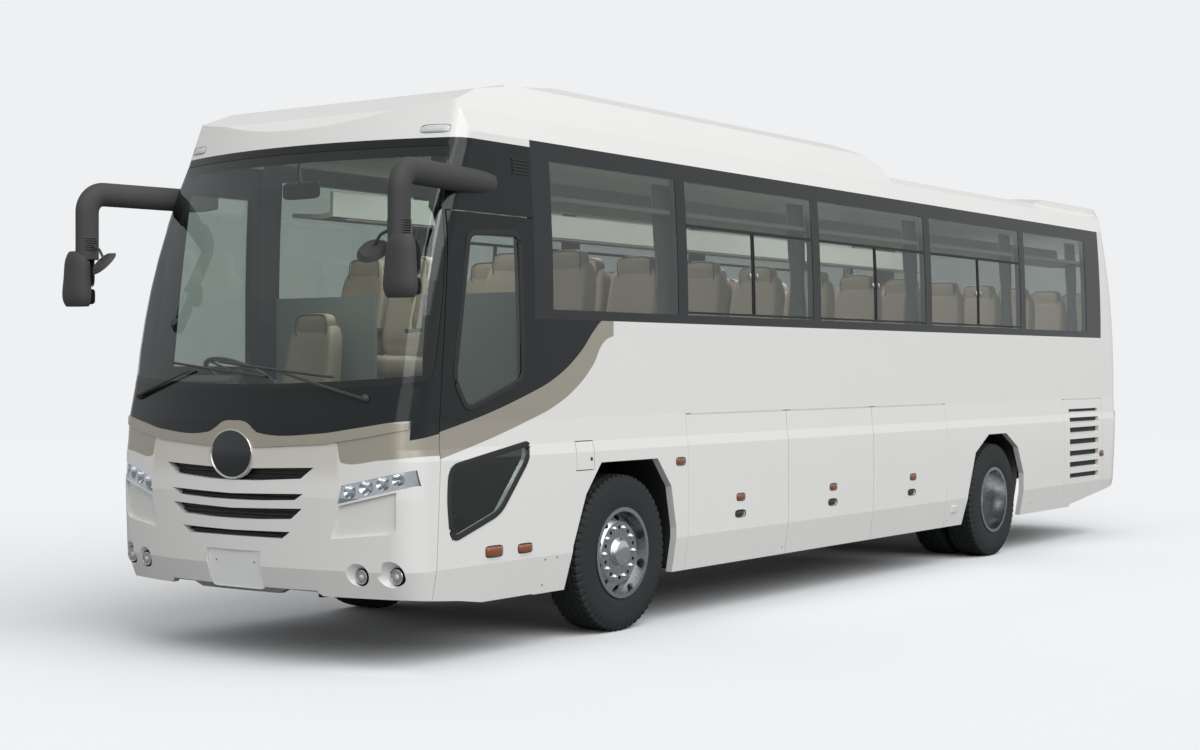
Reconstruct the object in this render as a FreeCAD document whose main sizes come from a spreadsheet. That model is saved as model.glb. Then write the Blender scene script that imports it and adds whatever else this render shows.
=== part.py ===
import FreeCAD, Part

import math
import os

import Sketcher

# A twelve metre touring coach: forward is +X, the door side is +Y and up is +Z.
# The origin lies on the ground under the middle of the overall box. Lengths are millimetres,
# and an outline is a list of corners, along or across first and up second.

V = FreeCAD.Vector
known = set(globals())

# Overall sizes
body_length = 11990  # body, front face to rear face
mirror_reach = 100  # mirrors ahead of the front face
half_width = 1245  # centre plane to the skirt panels
half_crease = 1232  # centre plane to the top of the crease band
half_width_up = 1225  # centre plane to the side above the waist
half_width_top = 1178  # centre plane to the side at the top of the windows
front_overhang = 2400  # front face to front axle
wheelbase = 6080  # front axle to rear axle
sill_z = 345  # ground to the lower edge of the panels
tuck_z = 580  # height of the fold in the skirt
crease_low_z = 1212  # lower edge of the bright crease band
crease_top_z = 1280  # upper edge of the bright crease band
waist_z = 1433  # ground to the waist line
band_low_z = 2056  # lower edge of the window band
band_top_z = 3165  # upper edge of the window band
wall = 50  # thickness of walls and doors
gap = 6  # gap round doors
over = 60  # overrun of a cutter past what it cuts
glass_t = 6  # thickness of the glass
glass_set = 3  # glass behind the outer skin
plate_t = 6  # thickness of sheet parts

# Front and rear ends: plan sections with a wide arc, two corner arcs and straight sides
nose_radius = 3750  # plan radius of the front face
front_corner_low = 210  # corner radius of the front at the sill
front_corner_top = 120  # corner radius of the front at the roof
tail_radius = 3200  # plan radius of the rear face
rear_corner = 430  # corner radius of the rear
door_rear_back = 1385  # front face to the rear edge of the entrance door
rear_seam_back = 11138  # front face to the seam of the rear corner
nose_z = 1000  # height of the foremost point
foot_set = 85  # bumper foot behind the foremost point
fold_set = 12  # bumper fold behind the foremost point
mask_set = 24  # waist line behind the foremost point
sill_tuck = 38  # panels drawn in at the sill
screen_low_z = 1634  # lower edge of the windscreen
screen_top_z = 3070  # upper edge of the windscreen
screen_set = 70  # windscreen foot behind the foremost point
screen_rake = 420  # windscreen top behind its foot
screen_bulge = 60  # windscreen bowed out of its chord
tail_foot_set = 110  # rear foot ahead of the rearmost point
tail_bow_set = 260  # rear wall at the roof ahead of the rearmost point
form_top_z = 3800  # height above every part of the roof

# Side seams, measured from the front axle
seam_a_off = 711  # front axle to the first luggage door
door_pitch = 1406  # width of one luggage door with its gap
seam_f_off = 7668  # front axle to the rear service door

# Outlines in side view, measured from the front axle
door_line_pts = [  # entrance doorway, from the front axle
    (1001, 285), (1001, 2680), (1832, 2680), (1911, 1700), (1960, 1385), (2010, 351), (2010, 285)]
door_pane_pts = [  # upper door window, from the front axle
    (1134, 1678), (1159, 2574), (1650, 2556), (1795, 1682), (1676, 1499)]
foot_pane_pts = [  # lower door window, from the front axle
    (1124, 1186), (1083, 1289), (1855, 1169), (1869, 984), (1842, 743), (1391, 883)]
screen_line_pts = [  # windscreen, from the front axle
    (1709, 3070), (1841, 2698), (1900, 2146), (1964, 1773), (1990, 1700), (2240, 1634), (2600, 1634),
    (2600, 3070)]
mask_line_pts = [  # front end behind the windscreen line, from the front axle
    (1996, 285), (1993, 351), (1936, 1385), (1910, 1700), (1990, 1700), (2240, 1634), (2600, 1634),
    (2600, 285)]
cab_pane_pts = [  # driver's side window, from the front axle
    (1100, 1760), (1100, 2900), (1660, 2900), (1790, 1760)]
arch_front_pts = [  # front wheel arch, from the front axle
    (-562, 285), (-562, 651), (-500, 940), (-330, 1138), (330, 1138), (500, 940), (640, 620), (701, 285)]
arch_rear_pts = [  # rear wheel arch, from the rear axle
    (-562, 285), (-562, 745), (-420, 1000), (-150, 1137), (250, 1137), (540, 980), (700, 620), (785, 285)]
tail_cut_pts = [  # rear overhang under the body, from the rear face
    (1690, 250), (1690, 368), (680, 484), (0, 600), (-200, 640), (-200, 250)]
pane_gap = 60  # half the width of a window pillar
pane_low = 2117  # lower edge of the side glass
pane_top = 3049  # upper edge of the side glass
pane_start_off = 824  # front axle to the front edge of the first side window
pillar_one = 685  # front axle to the first window pillar
pillar_two = 2609  # front axle to the second window pillar
pillar_three = 4610  # front axle to the third window pillar
pillar_four = 6687  # front axle to the fourth window pillar
pane_end_off = 8330  # front axle to the rear edge of the last side window
escape_rear_off = 7700  # front axle to the rear edge of the emergency door
escape_top = 3110  # upper edge of the emergency door

# Emergency door on the right
escape_border = 70  # frame of the emergency door round its window

# Skirts, luggage doors and rear service doors
flap_line_pts = [  # filler flap, from the front axle
    (407, 1093), (608, 1285)]
arch_in = 400  # arch cutter from the centre plane
flap_t = 20  # thickness of the filler flap
hinge_r = 3  # radius of the hinge bars of doors and flaps
hinge_end = 60  # end of a hinge bar inside the edge of its door
handle_z = 695  # height of the luggage doors' handles
handle_half = 46  # half the length of a handle recess between its round ends
handle_r = 26  # radius of the round ends of a handle recess
handle_deep = 18  # depth of a handle recess
louvre_fore_off = 7827  # front axle to the front edge of the louvres
louvre_aft_off = 8622  # front axle to the rear edge of the louvres
louvre_deep = 34  # depth of a louvre
louvre_pts = [  # louvres of the rear service door: lower and upper edges
    (1275, 1332), (1163, 1244), (1046, 1145), (923, 1027), (806, 910), (694, 798), (589, 683)]
cup_t = 4  # thickness of the filler cup
cup_deep = 110  # depth of the filler cup
neck_r = 45  # radius of the filler cap
neck_out = 40  # length of the filler cap

# Front end
post_x_off = 1700  # front axle to the door post
post_y = 1090  # centre plane to the door post
post_r = 24  # radius of the door post
pin_play = 1  # play of a pin in its bore
shelf_z = 2700  # height of the door post's upper bearing
shelf_half = 40  # half the width of the door post's bearings
shelf_t = 24  # thickness of the door post's bearings
bumper_z = 745  # upper edge of the front bumper
plate_z = 600  # height of the number plate's bolts
plate_half = 160  # centre plane to a number plate bolt
plate_r = 3.5  # radius of the number plate's bolt holes
plate_deep = 20  # depth of a number plate's bolt hole
under_line_pts = [  # lower edge of the front end from the door forward, from the front axle
    (1440, 285), (1480, 345), (1730, 380), (1950, 401), (2140, 420), (2480, 426), (2480, 285)]
under_step_pts = [  # raised lower edge beside the middle of the bumper: across and up
    (330, 285), (330, 426), (390, 450), (600, 446), (640, 426), (640, 285)]
opening_one_pts = [  # top opening of the grille, half: across and up
    (0, 1153), (618, 1172), (530, 1106), (190, 1086), (0, 1085)]
opening_two_pts = [  # second opening of the grille, half: across and up
    (0, 1005), (552, 1018), (490, 980), (200, 969), (0, 968)]
opening_three_pts = [  # third opening of the grille, half: across and up
    (0, 918), (544, 932), (462, 868), (200, 857), (0, 855)]
opening_four_pts = [  # lowest opening of the grille, half: across and up
    (0, 787), (455, 793), (395, 752), (0, 752)]
moulding_pts = [  # bright moulding over the grille, half: across and up
    (0, 1436), (85, 1431), (168, 1385), (217, 1365), (653, 1369), (894, 1404), (1191, 1446), (1190, 1398),
    (977, 1356), (690, 1309), (174, 1281), (0, 1281)]
moulding_out = 8  # moulding proud of the front mask
badge_half_y = 178  # half the width of the bare oval
badge_half_z = 150  # half the height of the bare oval
badge_z = 1238  # height of the middle of the bare oval
badge_out = 4  # face of the bare oval behind the foremost point
badge_rim = 12  # width of the rim of the bare oval
badge_dish = 3  # rim of the bare oval proud of its face
lamp_line_pts = [  # headlamp: across and up
    (777, 965), (807, 1071), (1225, 1167), (1236, 1076)]
pocket_pts = [  # pocket under the headlamp: across and up
    (790, 955), (1145, 1040), (1142, 829), (1092, 799), (735, 762)]
pocket_deep = 22  # depth of the pocket under the headlamp
bowls = [  # reflectors of a headlamp: across, up and radius
    (858, 1040, 40), (962, 1066, 44), (1062, 1090, 40), (1150, 1112, 34)]
bowl_deep = 58  # depth of a reflector
bowl_foot_r = 14  # radius of a reflector at its lamp
lens_t = 4  # thickness of a lamp's lens
lens_gap = 5  # lens ahead of the reflectors' housing
fogs = [  # front fog lamps, from the front axle: along, across, up and radius
    (2270, 912, 548, 46), (2203, 1122, 556, 50)]
fog_deep = 34  # depth of a fog lamp's recess
fog_flare = 26  # recess of a fog lamp wider at the skin
fog_lamp_t = 12  # thickness of a fog lamp
plate_line_pts = [  # number plate's recess in side view, behind the front face
    (-70, 428), (-24, 668), (60, 668), (60, 428)]
plate_wide = 226  # half the width of the number plate's recess
nose_from_off = 400  # front cutters behind the front face
mesh_play = 0.3  # grille behind the front mask
mesh_t = 8  # thickness of the grille's mesh
blade_t = 7  # thickness of a grille blade
blade_set = 34  # grille blades behind the face of the front mask
lamp_deep = 90  # depth of the headlamps

# Entrance door
leaf_line_pts = [  # entrance door leaf, from the front axle
    (1007, 351), (1007, 2674), (1825, 2674), (1905, 1700), (1930, 1385), (1987, 351)]
step_z = 400  # height of the first step
arm_reach = 600  # length of the door arms
arm_h = 50  # height of a door arm
arm_w = 36  # width of a door arm
arm_low = 560  # height of the lower door arm
arm_top = 2590  # height of the upper door arm
pin_r = 12  # radius of the door pins
lug_h = 16  # thickness of a door lug
lug_gap = 5  # door lug above its arm
lug_half = 30  # half the length of a door lug
step_t = 40  # thickness of a step
post_low = 420  # lower end of the door post
post_top = 2712  # upper end of the door post

# Rear end
tail_near_off = 700  # rear cutters ahead of the rear face
hatch_half = 860  # half the width of the engine hatch
hatch_low = 720  # lower edge of the engine hatch
hatch_top = 1560  # upper edge of the engine hatch
glass_half_low = 1010  # half the width of the rear window at its foot
glass_half_top = 960  # half the width of the rear window at its head
rear_pane_low = 2180  # lower edge of the rear window
rear_pane_top = 2980  # upper edge of the rear window
tail_lamp_in = 905  # centre plane to the tail lamps
tail_lamp_out = 1180  # centre plane to the outer edge of the tail lamps
tail_lamp_low = 797  # lower edge of the tail lamps
tail_lamp_top = 1284  # upper edge of the tail lamps
rear_bumper_z = 700  # upper edge of the rear bumper
tail_out = 16  # tail lamps proud of the panel
hatch_hinge = 100  # half the length of the engine hatch's hinge

# Roof
roof_t = 40  # thickness of the roof
roof_line_pts = [  # roof section
    (1178, 3165), (1122, 3308), (1000, 3378), (600, 3428), (0, 3450)]
cowl_line_pts = [  # cowl section
    (1178, 3165), (1122, 3308), (1062, 3430), (960, 3535), (800, 3608), (500, 3660), (0, 3688)]
cowl_side_pts = [  # cowl in side view, from the front axle
    (1930, 3165), (1870, 3215), (1740, 3310), (1380, 3452), (840, 3530), (330, 3598), (-190, 3645),
    (-750, 3675), (-1350, 3690), (-2870, 3690), (-3440, 3640), (-3840, 3560), (-4060, 3450), (-4100, 3300)]
tail_roof_pts = [  # roof in side view at the rear, from the rear face
    (250, 3165), (262, 3250), (330, 3340), (460, 3400), (620, 3437), (780, 3450)]
cover_line_pts = [  # air inlet on the roof in side view, from the rear face
    (2148, 3380), (1490, 3500), (1300, 3512), (800, 3500), (520, 3452), (325, 3330), (325, 3200), (2148, 3200)]
cover_half = 1010  # half the width of the air inlet on the roof
cover_up = 58  # air inlet higher than the roof
cowl_join_z = 3522  # cowl height over the door edge
cowl_t = 25  # thickness of the cowl

# Floors, bays and frame
floor_z = 1380  # height of the saloon floor
floor_t = 50  # thickness of the saloon floor
cab_floor_z = 960  # height of the driver's floor
cab_from_off = 40  # driver's floor ahead of the door edge
cab_to_off = 2080  # front axle to the front of the driver's floor
step_half = 420  # centre plane to the stairwell
floor_tail_off = 550  # rear face to the end of the saloon floor
duct_w = 50  # width of the ducts along the walls
duct_h = 120  # height of the ducts along the walls
rail_y0 = 330  # centre plane to the frame rails
rail_w = 80  # width of a frame rail
rail_z0 = 640  # underside of the frame rails
rail_h = 220  # height of the frame rails
pan_z = 400  # underside of the luggage floor
pan_t = 30  # thickness of the luggage floor
bulk_t = 30  # thickness of a bulkhead
bay_in = 12  # bulkheads inside the luggage doors
rail_fore_off = 60  # driver's floor ahead of the rails
rail_aft_off = 490  # rear face to the end of the rails
cross_w = 70  # width of a cross member
nose_member_off = 180  # driver's floor ahead of the front cross member
cross_aft = 800  # rear axle to the rear cross member
tow_r = 25  # radius of the tow eye's hole
tow_t = 36  # thickness of the tow eye
tow_z = 430  # height of the tow eye's hole
tow_half = 60  # half the width of the tow eye
step_from = 30  # stairwell ahead of the door edge
step_to = 1880  # front axle to the front of the stairwell
tread = 235  # depth of a step
step_rise = 185  # rise of a step
well_y = 1125  # centre plane to the outer edge of the first step

# Running gear
tyre_r = 522  # outer radius of the tyres
tyre_w = 288  # width of the tyres
bead_r = 290  # radius of the tyre bead
rim_r = 282  # radius of the rim barrel
wheel_y = 1045  # centre plane to the outer wheels
twin_gap = 335  # spacing of the twin wheels
bead_w = 4  # width of the tyre bead
shoulder = 22  # tread drawn in from the sidewall
side_bulge = 14  # tyre bead drawn in from the sidewall
barrel_t = 14  # thickness of the rim barrel
flange_r = 302  # outer radius of the rim flange
flange_w = 12  # width of the rim flange
disc_t = 16  # thickness of the wheel disc
hub_bore = 141  # radius of the centre hole of the wheel
dish_r = 205  # radius where the wheel disc begins to dish
front_face = 96  # front wheel disc outside the tyre's middle
front_dish = 40  # front wheel disc's joint with the barrel
twin_dish = 60  # twin wheel disc's joint with the barrel outside its face
stud_ring = 167.5  # radius of the ring of studs
stud_r = 13  # radius of a stud hole
hole_r = 26  # radius of the hand holes in the wheels
hole_ring = 238  # radius of the ring of hand holes
wheel_reach = 900  # length of the hole cutters
hub_r = 150  # radius of the hubs
spindle_r = 60  # radius of the spindles
tube_r = 75  # radius of the rear axle tube
pin_slack = 1  # play of a hub on its spindle
drum_r = 196  # radius of the brake discs
drum_w = 40  # width of the brake discs
cap_r = 104  # radius of the hub caps
cap_edge_r = 84  # radius of the front of the hub caps
tip_r = 40  # radius of the flat tip of the hub caps
cap_step = 138  # front hub cap's shoulder outside the tyre's middle
cap_tip = 146  # front hub cap's tip outside the tyre's middle
front_end = 100  # inside of the front hub cap
twin_step = 48  # rear hub's shoulder outside the wheel discs
twin_cap = 128  # rear hub cap's shoulder outside the wheel discs
twin_tip = 150  # rear hub cap's tip outside the wheel discs
twin_end = 70  # inside of the rear hub cap
twin_back = 120  # back of the rear hubs inside the wheel discs
kingpin_y = 860  # centre plane to the kingpins
kingpin_r = 25  # radius of a kingpin
eye_h = 90  # height of the axle eye
eye_r = 55  # outer radius of the axle eye
yoke_t = 34  # thickness of a yoke arm
yoke_gap = 5  # yoke arm beside the axle eye
spindle_out = 94  # spindle end outside the wheel's middle
hub_in = 80  # knuckle plate inside the wheel's middle
steer_arm = 180  # length of the steering arms
steer_z = 80  # steering arms below the wheel centre
arm_bar = 44  # width of a steering arm
arm_thick = 24  # thickness of a steering arm
tie_r = 18  # radius of the tie rod
tie_pin_r = 12  # radius of the tie rod pins
tie_eye_r = 28  # outer radius of the tie rod ends
tie_drop = 5  # tie rod ends below the steering arms
beam_w = 90  # width of the front axle beam
beam_h = 90  # height of the front axle beam
beam_in = 180  # kingpins to the rise of the front axle beam
beam_rise = 120  # width of the rise of the front axle beam
beam_drop = 120  # front axle beam below the wheel centre
bellows_r = 95  # radius of the air bellows
tube_end = -104  # rear axle tube past the outer wheel's middle
bowl_r = 215  # radius of the axle drive housing
engine_pts = [  # engine block, from the rear face
    (570, 560), (1880, 1240)]
engine_half = 330  # half the width of the engine

# Saloon
seat_pitch = 830  # pitch of the seat rows
seat_first_off = 280  # front axle to the first seat back
seat_in = 210  # centre plane to the seats
seat_out = 1110  # centre plane to the wall side of the seats
chair_line_pts = [  # a pair of seats in side view, from the back and the floor
    (-20, 300), (470, 290), (500, 340), (490, 430), (440, 455), (110, 430), (60, 700), (-20, 1080), (-60, 1130),
    (-120, 1120), (-130, 1060), (-80, 700), (-40, 420)]
foot_line_pts = [  # a seat foot in side view, from the back and the floor
    (150, 0), (330, 0), (300, 300), (190, 300)]
back_gap = 24  # gap between two seat backs
back_low = 490  # floor to the foot of the gap between two seat backs
foot_w = 60  # width of a seat foot
driver_x_off = 1160  # front axle to the driver's seat back
driver_y = 560  # centre plane to the middle of the driver's seat
driver_half = 250  # half the width of the driver's seat
driver_post = 120  # half the width of the driver's seat foot
dash_out = 1080  # half the width of the dashboard
dash_line_pts = [  # dashboard in side view, from the front axle
    (1980, 1215), (1960, 1500), (2000, 1580), (2110, 1608), (2460, 1590), (2460, 1215)]
hood_line_pts = [  # instrument hood in side view, from the front axle
    (2030, 1560), (2045, 1680), (2080, 1705), (2140, 1670), (2160, 1560)]
hood_half = 250  # half the width of the instrument hood
dash_play = 1  # play of the dashboard in the front end and on the column
wheel_out = 225  # radius of the steering wheel
wheel_wire = 16  # radius of the steering wheel rim
column_r = 30  # radius of the steering column
wheel_x_off = 1790  # front axle to the steering wheel
wheel_z = 1700  # height of the steering wheel
column_l = 420  # length of the steering column
rack_line_pts = [  # parcel rack's section: across and up
    (760, 2800), (860, 2788), (1250, 2815), (1250, 2845), (880, 2820), (790, 2834), (788, 2960), (775, 2980),
    (760, 2968)]
rack_fore_off = 300  # door edge to the parcel racks
rack_aft_off = 100  # rear seam to the parcel racks
part_x_off = 900  # front axle to the partitions
part_t = 25  # thickness of the partitions
part_top = 850  # height of the partitions

# Mirrors
mirror_tall = 76  # half the height of a mirror arm's section
mirror_flat = 60  # half the width of a mirror arm's section
mirror_bend = 120  # bend radius of the mirror arms
mirror_path_pts = [  # mirror arm, from the front axle: along, across and up
    (1380, 1150, 2862), (2385, 1318, 2862), (2385, 1318, 2440)]
mirror_y = 1365  # centre plane to the middle of the mirror heads
mirror_back_off = 2365  # front axle to the face of the mirror glass
head_pts = [  # mirror head from top to bottom, from the front axle: along, up, half length and half width
    (2420, 2492, 44, 66), (2424, 2440, 62, 92), (2428, 2300, 68, 106), (2428, 2180, 66, 110), (2424, 2142, 50, 92)]
stalk_r = 8  # radius of the round mirror's stalk
stalk_bend = 30  # bend radius of the round mirror's stalk
stalk_pts = [  # round mirror's stalk, from the front axle: along, across and up
    (2385, 1290, 2540), (2395, 1190, 2500), (2400, 1135, 2432)]
dish_face = 96  # radius of the round mirror's face
dish_back = 70  # radius of the round mirror's back
dish_deep = 24  # depth of the round mirror

# Counts, angles and directions
dish_shares = (0.70, 0.20, 0.68)
stud_count = 10
bay_count = 3
step_count = 3
spoke_count = 3
tyre_side_count = 60
column_tilt_deg = 28

sizes = {name: value for name, value in globals().items() if name not in known}
del sizes["known"]
doc = FreeCAD.newDocument("coach_bus")
sheet = doc.addObject("Spreadsheet::Sheet", "sizes")
nodes = []
rows = []


class Size:
    """A length that carries both its value and the spreadsheet expression it comes from."""

    def __init__(self, value, text):
        self.value = float(value)
        self.text = text

    def __float__(self):
        return self.value

    def __add__(self, other):
        return Size(self.value + float(other), f"({self.text} + {words(other)})")

    def __radd__(self, other):
        return Size(self.value + float(other), f"({words(other)} + {self.text})")

    def __sub__(self, other):
        return Size(self.value - float(other), f"({self.text} - {words(other)})")

    def __rsub__(self, other):
        return Size(float(other) - self.value, f"({words(other)} - {self.text})")

    def __mul__(self, other):
        return Size(self.value * float(other), f"({self.text} * {words(other)})")

    __rmul__ = __mul__

    def __truediv__(self, other):
        return Size(self.value / float(other), f"({self.text} / {words(other)})")

    def __neg__(self):
        return Size(-self.value, f"(0 - {self.text})")


def words(size):
    return size.text if isinstance(size, Size) else repr(size)


def in_sheet(alias, value):
    """Puts one size into the sheet under its own name and returns it with its expression."""
    rows.append(alias)
    line = len(rows)
    sheet.set(f"A{line}", alias.replace("_", " "))
    sheet.set(f"B{line}", str(value))
    sheet.setAlias(f"B{line}", alias)
    return Size(value, f"sizes.{alias}")


def line_in_sheet(alias, corners):
    """Puts every corner of an outline into the sheet."""
    letters = "abcdefghijklmnopqrstuvw"
    return [tuple(in_sheet(f"{alias}_{axis}{letter}", value) for axis, value in zip("xyzr", corner))
            for letter, corner in zip(letters, corners)]


def along(corners, start):
    """The corners of an outline, moved along by the place that they are measured from."""
    return [(start + corner[0], *corner[1:]) for corner in corners]


for alias, value in sizes.items():
    if isinstance(value, list):
        globals()[alias] = line_in_sheet(alias, value)
    elif not alias.endswith(("_count", "_deg", "_shares")):
        globals()[alias] = in_sheet(alias, value)


front_x = (body_length - mirror_reach) / 2
rear_x = front_x - body_length
axle_f = front_x - front_overhang
axle_r = axle_f - wheelbase


def pt(x, y, z):
    return V(float(x), float(y), float(z))


def solid(name, shape):
    """Keeps a shape made by code as a document object."""
    piece = doc.addObject("Part::Feature", name)
    piece.Shape = shape
    return piece


def node(label, piece):
    """Marks a document object as a finished sub-part with its file name."""
    piece.Label = label
    nodes.append((label, piece))
    return piece


def bind(piece, **sizes):
    """Binds properties of a document object to spreadsheet expressions."""
    for prop, size in sizes.items():
        piece.setExpression(prop, words(size))
    return piece


def place(piece, x, y, z):
    for axis, size in (("x", x), ("y", y), ("z", z)):
        piece.setExpression(f"Placement.Base.{axis}", words(size))
    return piece


def box(name, x0, x1, y0, y1, z0, z1):
    """A block between two corners, every size bound to the sheet."""
    block = doc.addObject("Part::Box", name)
    bind(block, Length=x1 - x0, Width=y1 - y0, Height=z1 - z0)
    return place(block, x0, y0, z0)


def rod(name, radius, length, x, y, z, along="z"):
    """A cylinder bound to the sheet, starting at a point and running along an axis."""
    bar = doc.addObject("Part::Cylinder", name)
    bind(bar, Radius=radius, Height=length)
    if along == "x":
        bar.Placement.Rotation = FreeCAD.Rotation(V(0, 1, 0), 90)
    if along == "y":
        bar.Placement.Rotation = FreeCAD.Rotation(V(1, 0, 0), -90)
    return place(bar, x, y, z)


def cone(name, radius0, radius1, length, x, y, z):
    """A cone bound to the sheet, running forward from a point."""
    made = doc.addObject("Part::Cone", name)
    bind(made, Radius1=radius0, Radius2=radius1, Height=length)
    made.Placement.Rotation = FreeCAD.Rotation(V(0, 1, 0), 90)
    return place(made, x, y, z)


def fuse(name, pieces):
    if len(pieces) == 1:
        return pieces[0]
    joined = doc.addObject("Part::MultiFuse", name)
    joined.Shapes = pieces
    return joined


def group(name, pieces):
    """Solids that share a sub-part without touching."""
    kept = doc.addObject("Part::Compound", name)
    kept.Links = pieces
    return kept


def cut(name, base, tools):
    made = doc.addObject("Part::Cut", name)
    made.Base = base
    made.Tool = fuse(f"{name}_tools", tools) if isinstance(tools, list) else tools
    return made


def common(name, one, two):
    made = doc.addObject("Part::MultiCommon", name)
    made.Shapes = [one, two]
    return made


def mirrored(name, source):
    """The same piece on the other side of the centre plane."""
    made = doc.addObject("Part::Mirroring", name)
    made.Source = source
    made.Base = V(0, 0, 0)
    made.Normal = V(0, 1, 0)
    return made


def polygon(points):
    return Part.makePolygon(points + [points[0]])


def side_prism(name, corners, y0, y1):
    """A cutter with a side view outline of (x, z) corners between two y values."""
    face = Part.Face(polygon([pt(x, y0, z) for x, z in corners]))
    return solid(name, face.extrude(V(0, float(y1) - float(y0), 0)))


def front_prism(name, corners, x0, x1):
    """A cutter with a front view outline of (y, z) corners between two x values."""
    face = Part.Face(polygon([pt(x0, y, z) for y, z in corners]))
    return solid(name, face.extrude(V(float(x1) - float(x0), 0, 0)))


# Front and rear ends: plan sections with a wide arc, two corner arcs and straight sides


split_f = front_x - door_rear_back
split_r = front_x - rear_seam_back
screen_height = screen_top_z - screen_low_z
band_height = band_top_z - band_low_z

levels = [sill_z, tuck_z, nose_z, crease_low_z, crease_top_z, waist_z, screen_low_z]
levels += [(screen_low_z + band_low_z) / 2, band_low_z]
levels += [band_low_z + (screen_top_z - band_low_z) * share for share in (0.2, 0.4, 0.6, 0.8)]
levels += [screen_top_z, band_top_z, form_top_z]


def side_y(z):
    """Half width of the side at a height: folds below the waist, one large arc above."""
    z = float(z)
    low, fold = float(sill_z), float(tuck_z)
    if z < fold:
        return float(half_width) - float(sill_tuck) * (fold - z) / (fold - low)
    if z <= float(crease_low_z):
        return float(half_width)
    if z <= float(crease_top_z):
        share = (z - float(crease_low_z)) / float(crease_top_z - crease_low_z)
        return float(half_width) + float(half_crease - half_width) * share
    if z <= float(waist_z):
        share = (z - float(crease_top_z)) / float(waist_z - crease_top_z)
        return float(half_crease) + float(half_width_up - half_crease) * share
    bow = float(half_width_up - half_width_top)
    radius = (float(band_height) ** 2 + bow ** 2) / (2 * bow)
    up = max(0.0, z - float(band_low_z))
    return float(half_width_up) - radius + math.sqrt(radius ** 2 - up ** 2)


def front_set(z):
    """How far the front centre line lies behind the foremost point at a height."""
    z = float(z)
    if z >= float(screen_low_z):
        share = (z - float(screen_low_z)) / float(screen_height)
        bulge = 4 * float(screen_bulge) * share * (1 - share)
        return float(screen_set) + float(screen_rake) * share - max(bulge, bulge / 4)
    stops = [(sill_z, foot_set), (tuck_z, fold_set), (nose_z, ZERO), (waist_z, mask_set),
             (screen_low_z, screen_set)]
    for (z0, s0), (z1, s1) in zip(stops, stops[1:]):
        if z <= float(z1):
            return float(s0) + float(s1 - s0) * (z - float(z0)) / float(z1 - z0)
    return 0.0


def rear_set(z):
    """How far the rear centre line lies ahead of the rearmost point at a height."""
    z = float(z)
    low, mid, top = float(sill_z), float(waist_z), float(band_top_z)
    if z < mid:
        return float(tail_foot_set) * ((mid - z) / (mid - low)) ** 2
    return float(tail_bow_set) * min(1.0, (z - mid) / (top - mid)) ** 2


ZERO = Size(0, "0")


def plan_wire(z, inset, front):
    """Closed plan section of one end: side, corner arc, wide arc, corner arc, side, back."""
    z, inset = float(z), float(inset)
    sign = 1 if front else -1
    wide = float(nose_radius if front else tail_radius)
    tip = float(front_x) - front_set(z) if front else float(rear_x) + rear_set(z)
    axis = float(front_x) - wide if front else float(rear_x) + wide
    corner = float(rear_corner)
    if front:
        share = (z - float(sill_z)) / float(form_top_z - sill_z)
        corner = float(front_corner_low) + float(front_corner_top - front_corner_low) * share
    big = abs(tip - axis) - inset
    half = side_y(z) - inset
    small = corner - inset
    y_c = half - small
    x_c = axis + sign * math.sqrt((big - small) ** 2 - y_c ** 2)
    reach = math.hypot(x_c - axis, y_c)
    t_x, t_y = axis + (x_c - axis) * big / reach, y_c * big / reach
    turn = math.atan2(t_y - y_c, sign * (t_x - x_c))
    middle = (turn + math.pi / 2) / 2
    m_x, m_y = x_c + sign * small * math.cos(middle), y_c + small * math.sin(middle)
    back = float(split_f if front else split_r)
    left = [V(back, half, z), V(x_c, half, z), V(m_x, m_y, z), V(t_x, t_y, z)]
    right = [V(p.x, -p.y, p.z) for p in left]
    return Part.Wire([
        Part.makeLine(left[0], left[1]),
        Part.Arc(left[1], left[2], left[3]).toShape(),
        Part.Arc(left[3], V(axis + sign * big, 0, z), right[3]).toShape(),
        Part.Arc(right[3], right[2], right[1]).toShape(),
        Part.makeLine(right[1], right[0]),
        Part.makeLine(right[0], left[0]),
    ])


def plan_x(z, y):
    """The front skin's x at a height and a distance from the centre plane."""
    section = plan_wire(z, ZERO, True)
    ray = Part.makeLine(V(float(nose_from), float(y), float(z)), V(float(fore), float(y), float(z)))
    return section.distToShape(ray)[1][-1][0].x


def heights(z0, z1):
    """The shared levels between two heights, with both ends."""
    z0, z1 = float(z0), float(z1)
    return [z0] + [float(z) for z in levels if z0 < float(z) < z1] + [z1]


def end_skin(name, z0, z1, inset0, inset1, front):
    """The skin of one end between two heights and two depths, open at the back."""
    outer = Part.makeLoft([plan_wire(z, inset0, front) for z in heights(z0, z1)], True, True)
    inner = Part.makeLoft([plan_wire(z, inset1, front) for z in heights(z0, z1)], True, True)
    return solid(name, outer.cut(inner))


def skin(name, x0, x1, z0, z1, inset0, inset1, side=1):
    """A strip of the side wall between two stations, two heights and two depths."""
    outer = [pt(x0, side * (side_y(z) - float(inset0)), z) for z in heights(z0, z1)]
    inner = [pt(x0, side * (side_y(z) - float(inset1)), z) for z in heights(z0, z1)]
    face = Part.Face(polygon(outer + inner[::-1]))
    return solid(name, face.extrude(V(float(x1) - float(x0), 0, 0)))


def both(name, left):
    """Exports a left piece and its twin on the right."""
    node(f"{name}_left", left)
    return node(f"{name}_right", mirrored(f"{name}_mirror", left))


wide = half_width + over
fore = front_x + over
aft = rear_x - over

# Side seams, measured from the front axle
seam_a = axle_f - seam_a_off
seam_d = seam_a - door_pitch * 3
seam_f = axle_f - seam_f_off

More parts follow.
